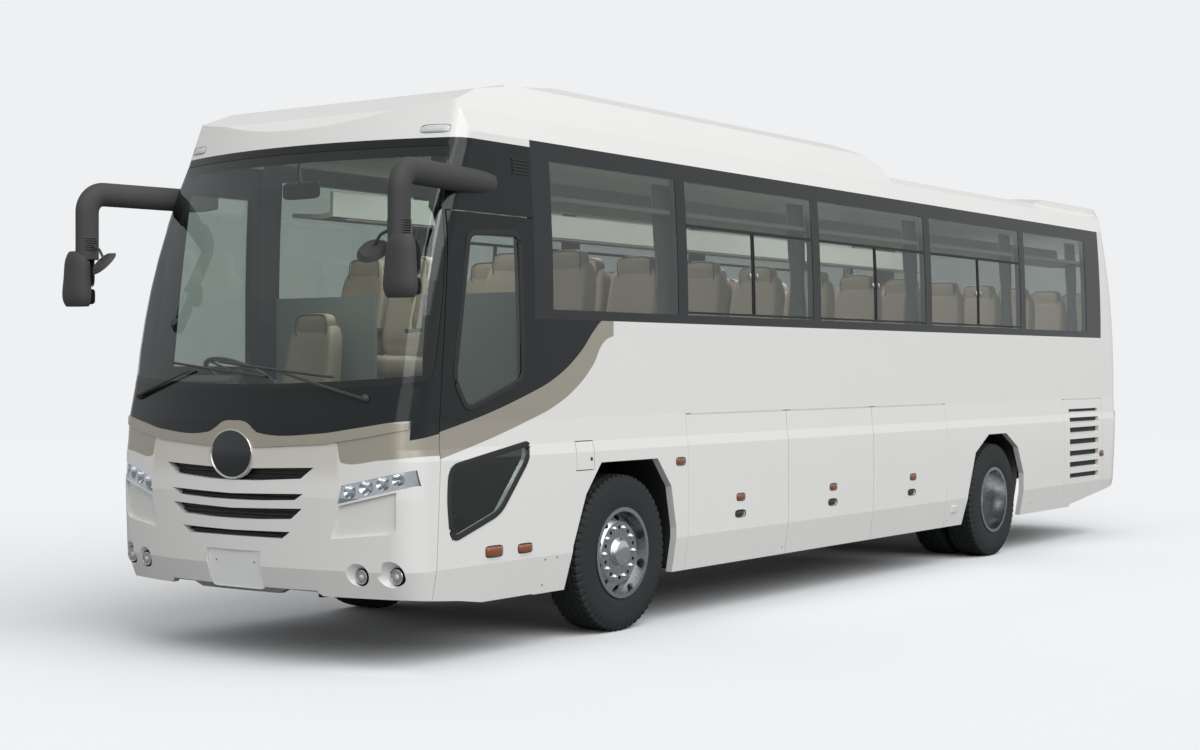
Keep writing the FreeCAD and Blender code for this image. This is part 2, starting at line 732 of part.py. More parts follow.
# Outlines in side view, measured from the front axle
door_line = along(door_line_pts, axle_f)
door_pane = along(door_pane_pts, axle_f)
foot_pane = along(foot_pane_pts, axle_f)
screen_line = along(screen_line_pts, axle_f)
mask_line = along(mask_line_pts, axle_f)
cab_pane = along(cab_pane_pts, axle_f)
arch_front = along(arch_front_pts, axle_f)
arch_rear = along(arch_rear_pts, axle_r)
tail_cut = along(tail_cut_pts, rear_x)
pane_start = axle_f + pane_start_off
pillars = [axle_f - one for one in (pillar_one, pillar_two, pillar_three, pillar_four)]
pane_end = axle_f - pane_end_off
escape_rear = axle_f - escape_rear_off

# Side walls of the saloon
panes = [(pillars[0] + pane_gap, pane_start)]
panes += [(b + pane_gap, a - pane_gap) for a, b in zip(pillars, pillars[1:])]
left_panes = panes + [(pane_end, pillars[3] - pane_gap)]
escape_front = pillars[3] - pane_gap / 2
right_panes = panes + [(pane_end, escape_rear - pane_gap)]
waists, bands, side_panes = [], [], []
for side, word, lights in ((1, "left", left_panes), (-1, "right", right_panes)):
    low = skin(f"waist_skin_{word}", split_r, split_f, waist_z, band_low_z, ZERO, wall, side)
    high = skin(f"band_skin_{word}", split_r, split_f, band_low_z, band_top_z, ZERO, wall, side)
    inside = (half_width_top - wall - over) * side
    y0, y1 = (inside, wide) if side > 0 else (-wide, inside)
    holes = [box(f"light_{word}", a, b, y0, y1, pane_low, pane_top) for a, b in lights]
    if side < 0:
        hole = box("escape_hole", escape_rear, escape_front, y0, y1, waist_z, escape_top)
        low = cut("waist_open", low, hole)
        holes = holes + [hole]
    waists.append(low)
    bands.append(cut(f"band_{word}", high, holes))
    for a, b in lights:
        side_panes.append(skin(f"pane_{word}", a, b, pane_low, pane_top, glass_set, glass_set + glass_t, side))
node("side_panels", group("waist_pair", waists))
node("window_frames", group("band_pair", bands))

# Emergency door on the right
leaf = skin("escape_leaf", escape_rear + gap, escape_front - gap, waist_z + gap, escape_top - gap, ZERO, wall, -1)
light = box("escape_light", escape_rear + gap + escape_border, escape_front - gap - escape_border, -wide,
            -(half_width_top - wall - over), pane_low, pane_top - escape_border)
escape_hinge = rod("escape_hinge", hinge_r, band_low_z - waist_z - hinge_end * 2, escape_front - gap + hinge_r / 2,
                   -half_width_up, waist_z + hinge_end)
node("emergency_door", fuse("escape", [cut("escape_open", leaf, light), escape_hinge]))
node("emergency_glass", skin("escape_pane", escape_rear + gap + escape_border, escape_front - gap - escape_border,
                             pane_low, pane_top - escape_border, glass_set, glass_set + glass_t, -1))

# Skirts, luggage doors and rear service doors
shape = skin("skirt_fore", seam_a, split_f, sill_z, waist_z, ZERO, wall)
flap_lines = along(flap_line_pts, axle_f)
(flap_x0, flap_z0), (flap_x1, flap_z1) = flap_lines
arch_tool = side_prism("arch_tool_front", arch_front, arch_in, wide)
flap_hole = box("flap_hole", flap_x0, flap_x1, half_width - wall - over, wide, flap_z0, flap_z1)
flap_hinge = rod("flap_hinge", hinge_r, crease_low_z - flap_z0 - gap * 2, flap_x1 - gap + hinge_r / 2, half_width,
                 flap_z0 + gap * 2)
node("filler_flap", fuse("flap", [
    skin("flap_leaf", flap_x0 + gap, flap_x1 - gap, flap_z0 + gap, flap_z1 - gap, ZERO, flap_t), flap_hinge]))
cup = box("cup_body", flap_x0 - cup_t, flap_x1 + cup_t, half_width - cup_deep, half_width - wall, flap_z0 - cup_t,
          flap_z1 + cup_t)
hollow = box("cup_hollow", flap_x0, flap_x1, half_width - cup_deep + cup_t, half_width, flap_z0, flap_z1)
neck = rod("neck", neck_r, neck_out + cup_t, (flap_x0 + flap_x1) / 2, half_width - cup_deep,
           (flap_z0 + flap_z1) / 2, "y")
fore_left = fuse("skirt_fore_left", [cut("skirt_fore_cut", shape, [arch_tool, flap_hole]), cut("cup", cup, hollow), neck])
fore_right = mirrored("skirt_fore_right", cut("skirt_fore_plain", skin(
    "skirt_fore_twin", seam_a, split_f, sill_z, waist_z, ZERO, wall), side_prism(
        "arch_tool_twin", arch_front, arch_in, wide)))
node("skirts_front", group("skirt_fore_pair", [fore_left, fore_right]))

aft_shape = skin("skirt_aft", seam_f, seam_d, sill_z, waist_z, ZERO, wall)
tail_tool = side_prism("tail_tool", tail_cut, -wide, wide)
aft_left = cut("skirt_aft_left", aft_shape, [side_prism("arch_tool_rear", arch_rear, arch_in, wide), tail_tool])
node("skirts_rear", group("skirt_aft_pair", [aft_left, mirrored("skirt_aft_right", aft_left)]))
names = ("front", "middle", "rear")


def hinged(name, leaf, x0, x1):
    """A side door with its hinge bar along the upper edge."""
    bar = rod(f"{name}_hinge", hinge_r, x1 - x0 - hinge_end * 2, x0 + hinge_end, half_width_up,
              waist_z - gap + hinge_r / 2, "x")
    return fuse(f"{name}_hinged", [leaf, bar])


def handle_recess(x):
    """A round-ended recess for a luggage door's handle."""
    y0 = half_width - handle_deep
    ends = [rod("recess_end", handle_r, handle_deep + over, x + handle_half * side, y0, handle_z, "y")
            for side in (1, -1)]
    return fuse("recess", ends + [box("recess_middle", x - handle_half, x + handle_half, y0, wide,
                                      handle_z - handle_r, handle_z + handle_r)])


for count, word in enumerate(names):
    x1 = seam_a - door_pitch * count - gap / 2
    x0 = seam_a - door_pitch * (count + 1) + gap / 2
    leaf = cut(f"luggage_cut_{word}", skin(f"luggage_{word}", x0, x1, sill_z, waist_z - gap, ZERO, wall),
               handle_recess((x0 + x1) / 2))
    both(f"luggage_door_{word}", hinged(f"luggage_{word}", leaf, x0, x1))
louvre_x0, louvre_x1 = axle_f - louvre_aft_off, axle_f - louvre_fore_off
louvre_y = half_width - louvre_deep
services = []
for word in ("left", "right"):
    leaf = cut(f"service_cut_{word}", skin(f"service_{word}", split_r + gap, seam_f - gap / 2, sill_z, waist_z - gap,
                                           ZERO, wall), tail_tool)
    if word == "left":
        for z0, z1 in louvre_pts:
            slot = [(wide, z0), (wide, z1), (louvre_y, z1), (louvre_y, (z0 + z1) / 2)]
            leaf = cut("louvred", leaf, front_prism("louvre", slot, louvre_x0, louvre_x1))
    services.append(hinged(f"service_{word}", leaf, split_r + gap, seam_f - gap / 2))
node("service_door_left", services[0])
node("service_door_right", mirrored("service_mirror", services[1]))

# Front end
front_all = end_skin("front_all", sill_z, band_top_z, ZERO, wall, True)
mask_tool = side_prism("mask_tool", mask_line, -wide, wide)
screen_tool = side_prism("screen_tool", screen_line, -wide, wide)
door_tool = side_prism("door_tool", door_line, ZERO, wide)
mask_all = common("mask_all", front_all, mask_tool)
cab_sides = cut("cab_sides", front_all, [mask_tool, screen_tool])
pane_tool = side_prism("cab_pane_tool", cab_pane, -wide, ZERO)
post_x = axle_f + post_x_off
shelf_y = half_width_top - wall / 2
bearing = cut("post_bearing", box("bearing_plate", post_x - shelf_half, post_x + shelf_half, post_y - shelf_half,
                                  shelf_y, shelf_z, shelf_z + shelf_t),
              rod("bearing_bore", post_r + pin_play, shelf_t * 2, post_x, post_y, shelf_z - shelf_t / 2))
under_tool = side_prism("under_tool", along(under_line_pts, axle_f), -wide, wide)
cab_open = cut("cab_open", cab_sides, [door_tool, pane_tool])
node("cab_frame", fuse("cab_whole", [cut("cab_low", cab_open, under_tool), bearing]))
glass_all = end_skin("front_glass", sill_z, band_top_z, glass_set, glass_set + glass_t, True)
node("windscreen", common("windscreen_glass", glass_all, screen_tool))
side_panes.append(common("cab_glass", glass_all, pane_tool))
node("side_glass", group("side_pane_set", side_panes))



def full_front(half):
    """A front view outline from its left half, which starts and ends on the centre plane or off it."""
    return half + [(-y, z) for y, z in half[::-1] if float(y)]


def set_in(name, z0, z1, corners, inset0, inset1):
    """A piece of the front between two depths under a front view outline."""
    return common(name, end_skin(f"{name}_ring", z0, z1, inset0, inset1, True),
                  front_prism(f"{name}_form", corners, nose_from, fore))


def oval(name, half_y, half_z, x0, x1):
    """An upright oval plate across the nose between two x values."""
    ring = Part.Ellipse(pt(x0, half_y, badge_z), pt(x0, 0, badge_z + half_z), pt(x0, 0, badge_z))
    return solid(name, Part.Face(Part.Wire(ring.toShape())).extrude(V(float(x1) - float(x0), 0, 0)))


nose_from = front_x - nose_from_off
bumper_box = box("bumper_box", split_f, fore, -wide, wide, sill_z, bumper_z)
bumper = cut("bumper_low", common("bumper", mask_all, bumper_box), under_tool)
for side in (1, -1):
    bumper = cut("bumper_step", bumper, front_prism("under_step", [(y * side, z) for y, z in under_step_pts],
                                                    nose_from, fore))
plate_line = [(front_x + x, z) for x, z in plate_line_pts]
bumper = cut("bumper_plate", bumper, side_prism("plate_recess", plate_line, -plate_wide, plate_wide))
plate_face = plate_line[0][0] + (plate_line[1][0] - plate_line[0][0]) * (
    (plate_z - plate_line[0][1]) / (plate_line[1][1] - plate_line[0][1]))
for side in (1, -1):
    bore = rod("plate_bore", plate_r, plate_deep * 2, plate_face - plate_deep, plate_half * side, plate_z, "x")
    bumper = cut("bumper_bored", bumper, bore)
    for x, y, z, radius in along(fogs, axle_f):
        bumper = cut("bumper_fog", bumper, cone("fog_recess", radius, radius + fog_flare * 2, fog_deep * 2,
                                                x - fog_deep, y * side, z))
        lamp = rod("fog_lamp", radius - gap, fog_lamp_t + gap, x - fog_deep - gap, y * side, z, "x")
        bumper = fuse("bumper_lamps", [bumper, lamp])
node("front_bumper", bumper)

mask = cut("upper_mask", mask_all, bumper_box)
opening_halves = (opening_one_pts, opening_two_pts, opening_three_pts, opening_four_pts)
openings = [full_front(half) for half in opening_halves]
lamp_left = front_prism("lamp_left", lamp_line_pts, nose_from, fore)
lamp_right = front_prism("lamp_right", [(-y, z) for y, z in lamp_line_pts], nose_from, fore)
for count, corners in enumerate(openings, 1):
    mask = cut(f"mask_opening_{count}", mask, front_prism(f"opening_{count}", corners, nose_from, fore))
mask = cut("mask_lamps", mask, [lamp_left, lamp_right])
moulding = set_in("moulding", moulding_pts[-1][1] - gap, moulding_pts[6][1] + gap, full_front(moulding_pts),
                  -moulding_out, wall / 2)
mask = fuse("mask_moulding", [mask, moulding])
for side, word in ((1, "left"), (-1, "right")):
    pocket = set_in(f"pocket_{word}", pocket_pts[-1][1] - gap, pocket_pts[1][1] + gap,
                    [(y * side, z) for y, z in pocket_pts], -over, pocket_deep)
    mask = cut(f"mask_pocket_{word}", mask, pocket)
badge_x = front_x - badge_out
badge = cut("badge_dished", oval("badge", badge_half_y, badge_half_z, badge_x - wall / 2, badge_x + badge_dish),
            oval("badge_face", badge_half_y - badge_rim, badge_half_z - badge_rim, badge_x, fore))
node("front_mask", fuse("mask_whole", [mask, badge]))

# Headlamps: a housing with four turned reflectors on each side, behind a clear lens
lamp_in = glass_set + lens_t + lens_gap
housings, lenses = [], []
for side, form, word in ((1, lamp_left, "left"), (-1, lamp_right, "right")):
    housing = common(f"housing_{word}", end_skin(f"lamp_ring_{word}", bumper_z, screen_low_z, lamp_in, lamp_deep, True),
                     form)
    for y, z, radius in bowls:
        mouth = plan_x(z, y) - lamp_in
        housing = cut("housing_bowl", housing, cone("reflector", bowl_foot_r, radius * 2 - bowl_foot_r, bowl_deep * 2,
                                                    mouth - bowl_deep, y * side, z))
    housings.append(housing)
    lenses.append(common(f"lens_{word}", end_skin(f"lens_ring_{word}", bumper_z, screen_low_z, glass_set,
                                                  glass_set + lens_t, True), form))
node("headlamps", group("housing_pair", housings))
node("headlamp_lenses", group("lens_pair", lenses))

# Grille: a mesh panel behind the openings with one blade across each
mesh_in = wall + mesh_play
mesh_top = opening_one_pts[1][1] + gap * 3
mesh_form = full_front([(0, bumper_z + mesh_play), (opening_four_pts[1][0] + over, bumper_z + mesh_play),
                        (opening_one_pts[1][0] + over, mesh_top), (0, mesh_top)])
grille = [set_in("mesh", bumper_z, waist_z, mesh_form, mesh_in, mesh_in + mesh_t)]
for half, corners in zip(opening_halves, openings):
    middle = (half[0][1] + half[-1][1]) / 2
    grille.append(set_in("blade", middle - blade_t / 2, middle + blade_t / 2, corners, blade_set, mesh_in + mesh_t / 2))
node("grille", fuse("grille_whole", grille))

# Entrance door
door_leaf_line = along(leaf_line_pts, axle_f)
leaf_tool = side_prism("leaf_tool", door_leaf_line, ZERO, wide)
upper_tool = side_prism("door_pane_tool", door_pane, ZERO, wide)
foot_tool = side_prism("foot_pane_tool", foot_pane, ZERO, wide)
leaf_body = cut("leaf_body", common("leaf_all", front_all, leaf_tool), [upper_tool, foot_tool])
leaf_body = cut("leaf_low", leaf_body, under_tool)
pin_x = post_x - arm_reach
lugs = []
for word, z in (("low", arm_low), ("top", arm_top)):
    root = half_width_top if word == "top" else half_width - wall / 2
    lug = box(f"lug_{word}", pin_x - lug_half, pin_x + lug_half, post_y - lug_half / 2, root,
              z + arm_h + lug_gap, z + arm_h + lug_gap + lug_h)
    pin = rod(f"pin_{word}", pin_r, arm_h + lug_gap + lug_h / 2, pin_x, post_y, z)
    lugs.extend([lug, pin])
node("entrance_door", fuse("door_whole", [leaf_body] + lugs))
node("entrance_door_glass", common("door_glass", glass_all, group("door_glass_tools", [upper_tool, foot_tool])))

arms = [rod("post", post_r, post_top - post_low, post_x, post_y, post_low)]
for word, z in (("low", arm_low), ("top", arm_top)):
    bar = box(f"arm_{word}", pin_x - arm_w, post_x, post_y - arm_w / 2, post_y + arm_w / 2, z, z + arm_h)
    bore = rod(f"arm_bore_{word}", pin_r + pin_play, arm_h + over * 2, pin_x, post_y, z - over)
    arms.append(cut(f"arm_{word}_bored", bar, bore))
node("door_arms", fuse("arms", arms))

# Rear end
rear_all = end_skin("rear_all", sill_z, band_top_z, ZERO, wall, False)
rear_glass_skin = end_skin("rear_glass_skin", sill_z, band_top_z, glass_set, glass_set + glass_t, False)
tail_near = rear_x + tail_near_off
hatch_hole = box("hatch_hole", aft, tail_near, -hatch_half, hatch_half, hatch_low, hatch_top)
hatch_form = box("hatch_form", aft, tail_near, -(hatch_half - gap), hatch_half - gap, hatch_low + gap, hatch_top - gap)
rear_face = [(-glass_half_low, rear_pane_low), (glass_half_low, rear_pane_low), (glass_half_top, rear_pane_top),
             (-glass_half_top, rear_pane_top)]
rear_pane_tool = front_prism("rear_pane_tool", rear_face, aft, tail_near)
tail_lamps = []
for sign, word in ((1, "left"), (-1, "right")):
    y0, y1 = sorted((tail_lamp_in * sign, tail_lamp_out * sign), key=float)
    tail_lamps.append(box(f"tail_box_{word}", aft, tail_near, y0, y1, tail_lamp_low, tail_lamp_top))
tail_tools = group("tail_tools", tail_lamps)
hatch_bar = rod("hatch_hinge", hinge_r, hatch_hinge * 2, rear_x + hinge_r, -hatch_hinge,
                hatch_top - gap + hinge_r / 2, "y")
node("engine_hatch", fuse("hatch", [common("hatch_leaf", rear_all, hatch_form), hatch_bar]))
rear_low_box = box("rear_low_box", aft, split_r, -wide, wide, sill_z, rear_bumper_z)
rear_mid_box = box("rear_mid_box", aft, split_r, -wide, wide, rear_bumper_z, band_top_z)
node("rear_bumper", cut("rear_low", common("rear_low_all", rear_all, rear_low_box), tail_tool))
node("rear_panel", cut("rear_mid", common("rear_mid_all", rear_all, rear_mid_box), [
    hatch_hole, tail_tools, rear_pane_tool]))
node("rear_glass", common("rear_glass_piece", rear_glass_skin, rear_pane_tool))
tail_ring = end_skin("tail_ring", rear_bumper_z, waist_z, -tail_out, wall, False)
node("tail_lamps", common("tail_lamp_pair", tail_ring, tail_tools))

# Roof
roof_line = roof_line_pts
cowl_line = cowl_line_pts
cowl_side = along(cowl_side_pts, axle_f)
tail_roof = along(tail_roof_pts, rear_x)


def roof_solid(name, line, x0, x1, inset):
    """A roof section carried along X between two stations, down to the window band."""
    half = [(float(y) - float(inset), float(z) - (float(inset) if count else 0.0))
            for count, (y, z) in enumerate(line)]
    half[-1] = (0.0, half[-1][1])
    points = [V(float(x0), y, z) for y, z in half] + [V(float(x0), -y, z) for y, z in half[-2::-1]]
    face = Part.Face(polygon(points))
    return solid(name, face.extrude(V(float(x1) - float(x0), 0, 0)))


def end_solid(name, z0, z1, inset, front):
    return solid(name, Part.makeLoft([plan_wire(z, inset, front) for z in heights(z0, z1)], True, True))


roof_mid = (cut("roof_mid", roof_solid("roof_out", roof_line, split_r, split_f, ZERO),
                       roof_solid("roof_in", roof_line, split_r - over, split_f + over, roof_t)))
rear_roof_line = [(x, z) for x, z in tail_roof] + [(split_r + over, tail_roof[-1][1]), (split_r + over, band_top_z)]
rear_roof_in = [(x + roof_t, z - (roof_t if count else ZERO)) for count, (x, z) in enumerate(tail_roof)]
rear_roof_in += [(split_r + over, tail_roof[-1][1] - roof_t), (split_r + over, band_top_z)]
tail_out_form = common("tail_roof_out", common("tail_roof_a", end_solid(
    "tail_dome", band_top_z, form_top_z, ZERO, False), roof_solid("tail_bow", roof_line, aft, split_r, ZERO)),
    side_prism("tail_side", rear_roof_line, -wide, wide))
tail_in_form = common("tail_roof_in", common("tail_roof_b", end_solid(
    "tail_dome_in", band_top_z, form_top_z, roof_t, False), roof_solid("tail_bow_in", roof_line, aft, split_r + over,
                                                                    roof_t)),
    side_prism("tail_side_in", rear_roof_in, -wide, wide))
cover_line = along(cover_line_pts, rear_x)
raised_line = [(y, z + cover_up) for y, z in roof_line[1:]]
raised_line = [(roof_line[0][0], roof_line[0][1])] + raised_line
cover = common("cover", roof_solid("cover_raised", raised_line, cover_line[-2][0], cover_line[-1][0], ZERO),
               side_prism("cover_side", cover_line, -cover_half, cover_half))
cover = cut("cover_open", cover, roof_solid("cover_seat", roof_line, cover_line[-2][0] - over, cover_line[-1][0] + over,
                                            roof_t / 2))
node("roof_panel", fuse("roof_whole", [roof_mid, cut("tail_roof", tail_out_form, tail_in_form), cover]))

nose_profile = [p for p in cowl_side if float(p[0]) > float(split_f)]
nose_outer = nose_profile + [(split_f - over, cowl_join_z), (split_f - over, cowl_side[0][1])]
nose_inner = [(x - roof_t, z - roof_t) for x, z in nose_profile[1:]]
nose_inner = [(nose_profile[0][0] - roof_t * 2, nose_profile[0][1])] + nose_inner
nose_inner += [(split_f - over, cowl_join_z - roof_t), (split_f - over, cowl_side[0][1])]
dome_out = common("dome_out", common("dome_a", end_solid("dome_plan", band_top_z, form_top_z, ZERO, True), roof_solid(
    "dome_bow", cowl_line, split_f, fore, ZERO)), side_prism("dome_side", nose_outer, -wide, wide))
dome_in = common("dome_in", common("dome_b", end_solid("dome_plan_in", band_top_z, form_top_z, roof_t, True), roof_solid(
    "dome_bow_in", cowl_line, split_f - over, fore, roof_t)), side_prism("dome_side_in", nose_inner, -wide, wide))
node("roof_front", cut("dome", dome_out, dome_in))

cowl_mid = [p for p in cowl_side if float(p[0]) < float(split_f)]
cowl_out = [(split_f, cowl_join_z)] + cowl_mid + [(split_f, cowl_side[-1][1])]
cowl_in = [(split_f + over, cowl_join_z - cowl_t)] + [(x + (cowl_t if float(x) < float(axle_r) else ZERO), z - cowl_t)
                                                for x, z in cowl_mid[:-1]]
cowl_in += [(cowl_mid[-1][0] + cowl_t, cowl_mid[-1][1] - over), (split_f + over, cowl_side[-1][1] - over)]
cowl_shell = cut("cowl_shell", common("cowl_a", roof_solid("cowl_bow", cowl_line, cowl_side[-1][0], split_f, ZERO),
                                      side_prism("cowl_side_out", cowl_out, -wide, wide)),
                 common("cowl_b", roof_solid("cowl_bow_in", cowl_line, cowl_side[-1][0] - over, split_f + over, cowl_t),
                        side_prism("cowl_side_in", cowl_in, -wide, wide)))
node("roof_cowl", cut("cowl", cowl_shell, roof_solid("cowl_seat", roof_line, aft, split_f + over, ZERO)))

# Floors, bays and frame
floor_half = half_width_up - wall - gap
cab_from = split_f + cab_from_off
cab_to = axle_f + cab_to_off
floor_tail = rear_x + floor_tail_off
floor_main = box("floor_main", floor_tail, split_f, -floor_half, floor_half, floor_z - floor_t, floor_z)
cab_floor = box("cab_floor", split_f, cab_to, -floor_half, step_half, cab_floor_z - floor_t, cab_floor_z)
duct_y = half_width_up - wall
ducts = [box("duct_left", floor_tail, split_f, duct_y - duct_w, duct_y, floor_z - floor_t / 2, floor_z + duct_h)]
for a, b in ((escape_front + wall, split_f), (floor_tail, escape_rear - wall)):
    ducts.append(box("duct_right", a, b, -duct_y, -(duct_y - duct_w), floor_z - floor_t / 2, floor_z + duct_h))
riser = box("riser", split_f, split_f + plate_t, -floor_half, floor_half, cab_floor_z - floor_t, floor_z - floor_t)
node("cabin_floor", fuse("floors", [floor_main, cab_floor, riser] + ducts))

bay_half = half_width - wall - bay_in - sill_tuck
rail_fore = cab_to - rail_fore_off
rail_aft = rear_x + rail_aft_off

def across(one, two, side):
    """Two distances from the centre plane, on one side, lower value first."""
    return sorted((one * side, two * side), key=float)


rails, bay, members = [], [], []
for sign in (1, -1):
    y0, y1 = across(rail_y0, rail_y0 + rail_w, sign)
    rails.append(box("rail_front", seam_a - bulk_t / 2, rail_fore, y0, y1, rail_z0, rail_z0 + rail_h))
    rails.append(box("rail_rear", rail_aft, seam_d + bulk_t / 2, y0, y1, rail_z0, rail_z0 + rail_h))
bay.append(box("pan", seam_d + bulk_t, seam_a - bulk_t, -bay_half, bay_half, pan_z, pan_z + pan_t))
for count in range(bay_count + 1):
    station = seam_a - door_pitch * count
    shift = -bulk_t if count == 0 else (ZERO if count == bay_count else -bulk_t / 2)
    bay.append(box("bulkhead", station + shift, station + shift + bulk_t, -bay_half, bay_half, pan_z,
                   floor_z - floor_t))
member_z = rail_z0 + rail_h / 4
nose_member = cab_to - nose_member_off
members.append(box("nose_member", nose_member - cross_w, nose_member, -bay_half, rail_y0, member_z, rail_z0 + rail_h))
for station in (split_f, axle_r - cross_aft, rail_aft + cross_w):
    members.append(box("cross", station - cross_w, station, -bay_half, bay_half, member_z, rail_z0 + rail_h))
    for sign in (1, -1):
        y0, y1 = across(bay_half - cross_w, bay_half, sign)
        members.append(box("stanchion", station - cross_w, station, y0, y1, member_z, floor_z - floor_t))
tow_x = rail_fore - tow_half
tow_y = rail_y0 + rail_w / 2
tow_plate = box("tow_plate", tow_x - tow_half, rail_fore, tow_y - tow_t / 2, tow_y + tow_t / 2, tow_z - tow_half,
                rail_z0 + rail_h / 2)
tow_bore = rod("tow_bore", tow_r, tow_t * 3, tow_x, tow_y - tow_t * 1.5, tow_z, "y")
tow_rail = fuse("tow_rail", [rails[0], cut("tow_bored", tow_plate, tow_bore)])
node("chassis_frame", group("rails", [tow_rail] + rails[1:]))
node("cross_members", cut("members_open", fuse("members", members), group("rail_form", rails)))
node("luggage_bay", cut("bay_open", fuse("bay", bay), group("rail_form_bay", rails)))

step_x0 = split_f + step_from
step_x1 = axle_f + step_to
well = []
for count in range(step_count):
    y1 = well_y - tread * count
    z = step_z + step_rise * count
    well.append(box("tread", step_x0, step_x1, y1 - tread, y1, z, z + step_t))
    well.append(box("rise", step_x0, step_x1, y1 - tread, y1 - tread + plate_t, z, z + step_rise + step_t / 2))
for x0 in (step_x0 - plate_t, step_x1):
    well.append(box("well_wall", x0, x0 + plate_t, step_half, well_y, step_z, cab_floor_z))
steps = fuse("well", well)
node("entrance_steps", cut("well_bored", steps, rod("post_bore", post_r + pin_play, step_rise, post_x, post_y,
                                                    step_z - step_t)))

# Running gear


def plane_of(body, role):
    return next(item for item in body.Origin.OriginFeatures if item.Role == role)


def sketch_on(body, name, role):
    sketch = body.newObject("Sketcher::SketchObject", name)
    sketch.AttachmentSupport = [(plane_of(body, role), "")]
    sketch.MapMode = "FlatFace"
    return sketch


def pin_point(sketch, edge, where, kind, size):
    """Ties one coordinate of a sketch point to the sheet."""
    if float(size) == 0:
        sketch.addConstraint(Sketcher.Constraint("PointOnObject", edge, where, -2 if kind == "DistanceX" else -1))
        return
    index = sketch.addConstraint(Sketcher.Constraint(kind, -1, 1, edge, where, float(size)))
    sketch.setExpression(f"Constraints[{index}]", words(size))


def outline(body, name, role, corners):
    """A closed polygon sketch with every corner bound to the sheet."""
    sketch = sketch_on(body, name, role)
    count = len(corners)
    for index, (u, v) in enumerate(corners):
        nu, nv = corners[(index + 1) % count]
        sketch.addGeometry(Part.LineSegment(pt(u, v, 0), pt(nu, nv, 0)), False)
    for index in range(count):
        sketch.addConstraint(Sketcher.Constraint("Coincident", index, 2, (index + 1) % count, 1))
    for index, (u, v) in enumerate(corners):
        pin_point(sketch, index, 1, "DistanceX", u)
        pin_point(sketch, index, 1, "DistanceY", v)
    return sketch


def circle(body, name, role, radius, u, v):
    sketch = sketch_on(body, name, role)
    sketch.addGeometry(Part.Circle(pt(u, v, 0), V(0, 0, 1), float(radius)), False)
    index = sketch.addConstraint(Sketcher.Constraint("Radius", 0, float(radius)))
    sketch.setExpression(f"Constraints[{index}]", words(radius))
    pin_point(sketch, 0, 3, "DistanceX", u)
    pin_point(sketch, 0, 3, "DistanceY", v)
    return sketch


def turned(body, name, corners):
    """A ring or hub turned about the wheel axis from (y, radius) corners."""
    sketch = outline(body, f"{name}_line", "YZ_Plane", corners)
    spin = body.newObject("PartDesign::Revolution", name)
    spin.Profile = sketch
    spin.ReferenceAxis = (sketch, ["H_Axis"])
    spin.Angle = 360
    return spin


def tyre_sections(middle):
    """Rings of a tyre from one bead over the tread to the other: place along the axle and radius."""
    half = tyre_w / 2
    return [
        (middle - half + side_bulge, bead_r + bead_w), (middle - half, (bead_r + tyre_r) / 2),
        (middle - half + shoulder, tyre_r), (middle + half - shoulder, tyre_r), (middle + half, (bead_r + tyre_r) / 2),
        (middle + half - side_bulge, bead_r + bead_w)]


def ring_at(kind, name, radius, x, y, z):
    """A many-sided section or prism about an axle, with a corner on the ground."""
    made = doc.addObject(kind, name)
    made.Polygon = tyre_side_count
    bind(made, Circumradius=radius)
    made.Placement.Rotation = FreeCAD.Rotation(V(1, 0, 0), -90)
    return place(made, x, y, z)


def tyre(name, x, y, middle):
    """One tyre lofted through its rings, with the bore that its rim fills."""
    rings = [ring_at("Part::RegularPolygon", f"{name}_ring", radius, x, y + step, tyre_r)
             for step, radius in tyre_sections(middle)]
    carcass = doc.addObject("Part::Loft", f"{name}_carcass")
    carcass.Sections = rings
    carcass.Solid = True
    carcass.Ruled = True
    bore = ring_at("Part::Prism", f"{name}_bore", bead_r, x, y + middle - tyre_w / 2 - over, tyre_r)
    bind(bore, Height=tyre_w + over * 2)
    return cut(name, carcass, bore)


def turned_part(label, lists, x, y, z):
    """A body of one or more turned rings set at a wheel centre."""
    body = doc.addObject("PartDesign::Body", label)
    for index, corners in enumerate(lists):
        turned(body, f"{label}_ring{index}", corners)
    place(body, x, y, z)
    return body




def barrel_line(start, dish):
    """Outer line of a rim barrel from its disc round both flanges and back to its disc."""
    a = start + flange_w
    b = start - flange_w + tyre_w
    lip = rim_r - barrel_t / 2
    return [
        (dish, lip), (start, lip), (start, flange_r), (a, flange_r), (a, rim_r + barrel_t / 2),
        (b, rim_r + barrel_t / 2), (b, flange_r), (b + flange_w, flange_r), (b + flange_w, lip), (dish + disc_t, lip)]


def front_wheel():
    """Rim, disc, hub, brake disc and cap of a front wheel from its middle outwards."""
    return barrel_line(-tyre_w / 2, front_dish) + [
        (front_face + disc_t, dish_r), (front_face + disc_t, cap_r), (cap_step, cap_edge_r), (cap_tip, tip_r),
        (cap_tip, ZERO), (front_end, ZERO), (front_end, spindle_r + pin_slack), (-drum_w, spindle_r + pin_slack), (-drum_w, drum_r),
        (ZERO, drum_r), (ZERO, hub_r), (front_face, hub_r), (front_face, dish_r)]


def twin_wheel():
    """Both rims, discs and the hub of a twin wheel from the discs' joint outwards."""
    one = barrel_line(twin_gap / 2 - tyre_w / 2, twin_dish)
    two = [(-s, r) for s, r in one[::-1]]
    hub = [
        (disc_t, dish_r), (disc_t, hub_r), (twin_step, hub_r), (twin_step, cap_r), (twin_cap, cap_edge_r),
        (twin_tip, tip_r), (twin_tip, ZERO), (twin_end, ZERO), (twin_end, tube_r + pin_slack), (-twin_back, tube_r + pin_slack),
        (-twin_back, hub_r), (-disc_t, hub_r), (-disc_t, dish_r)]
    return one + hub + two + [(ZERO, dish_r)]


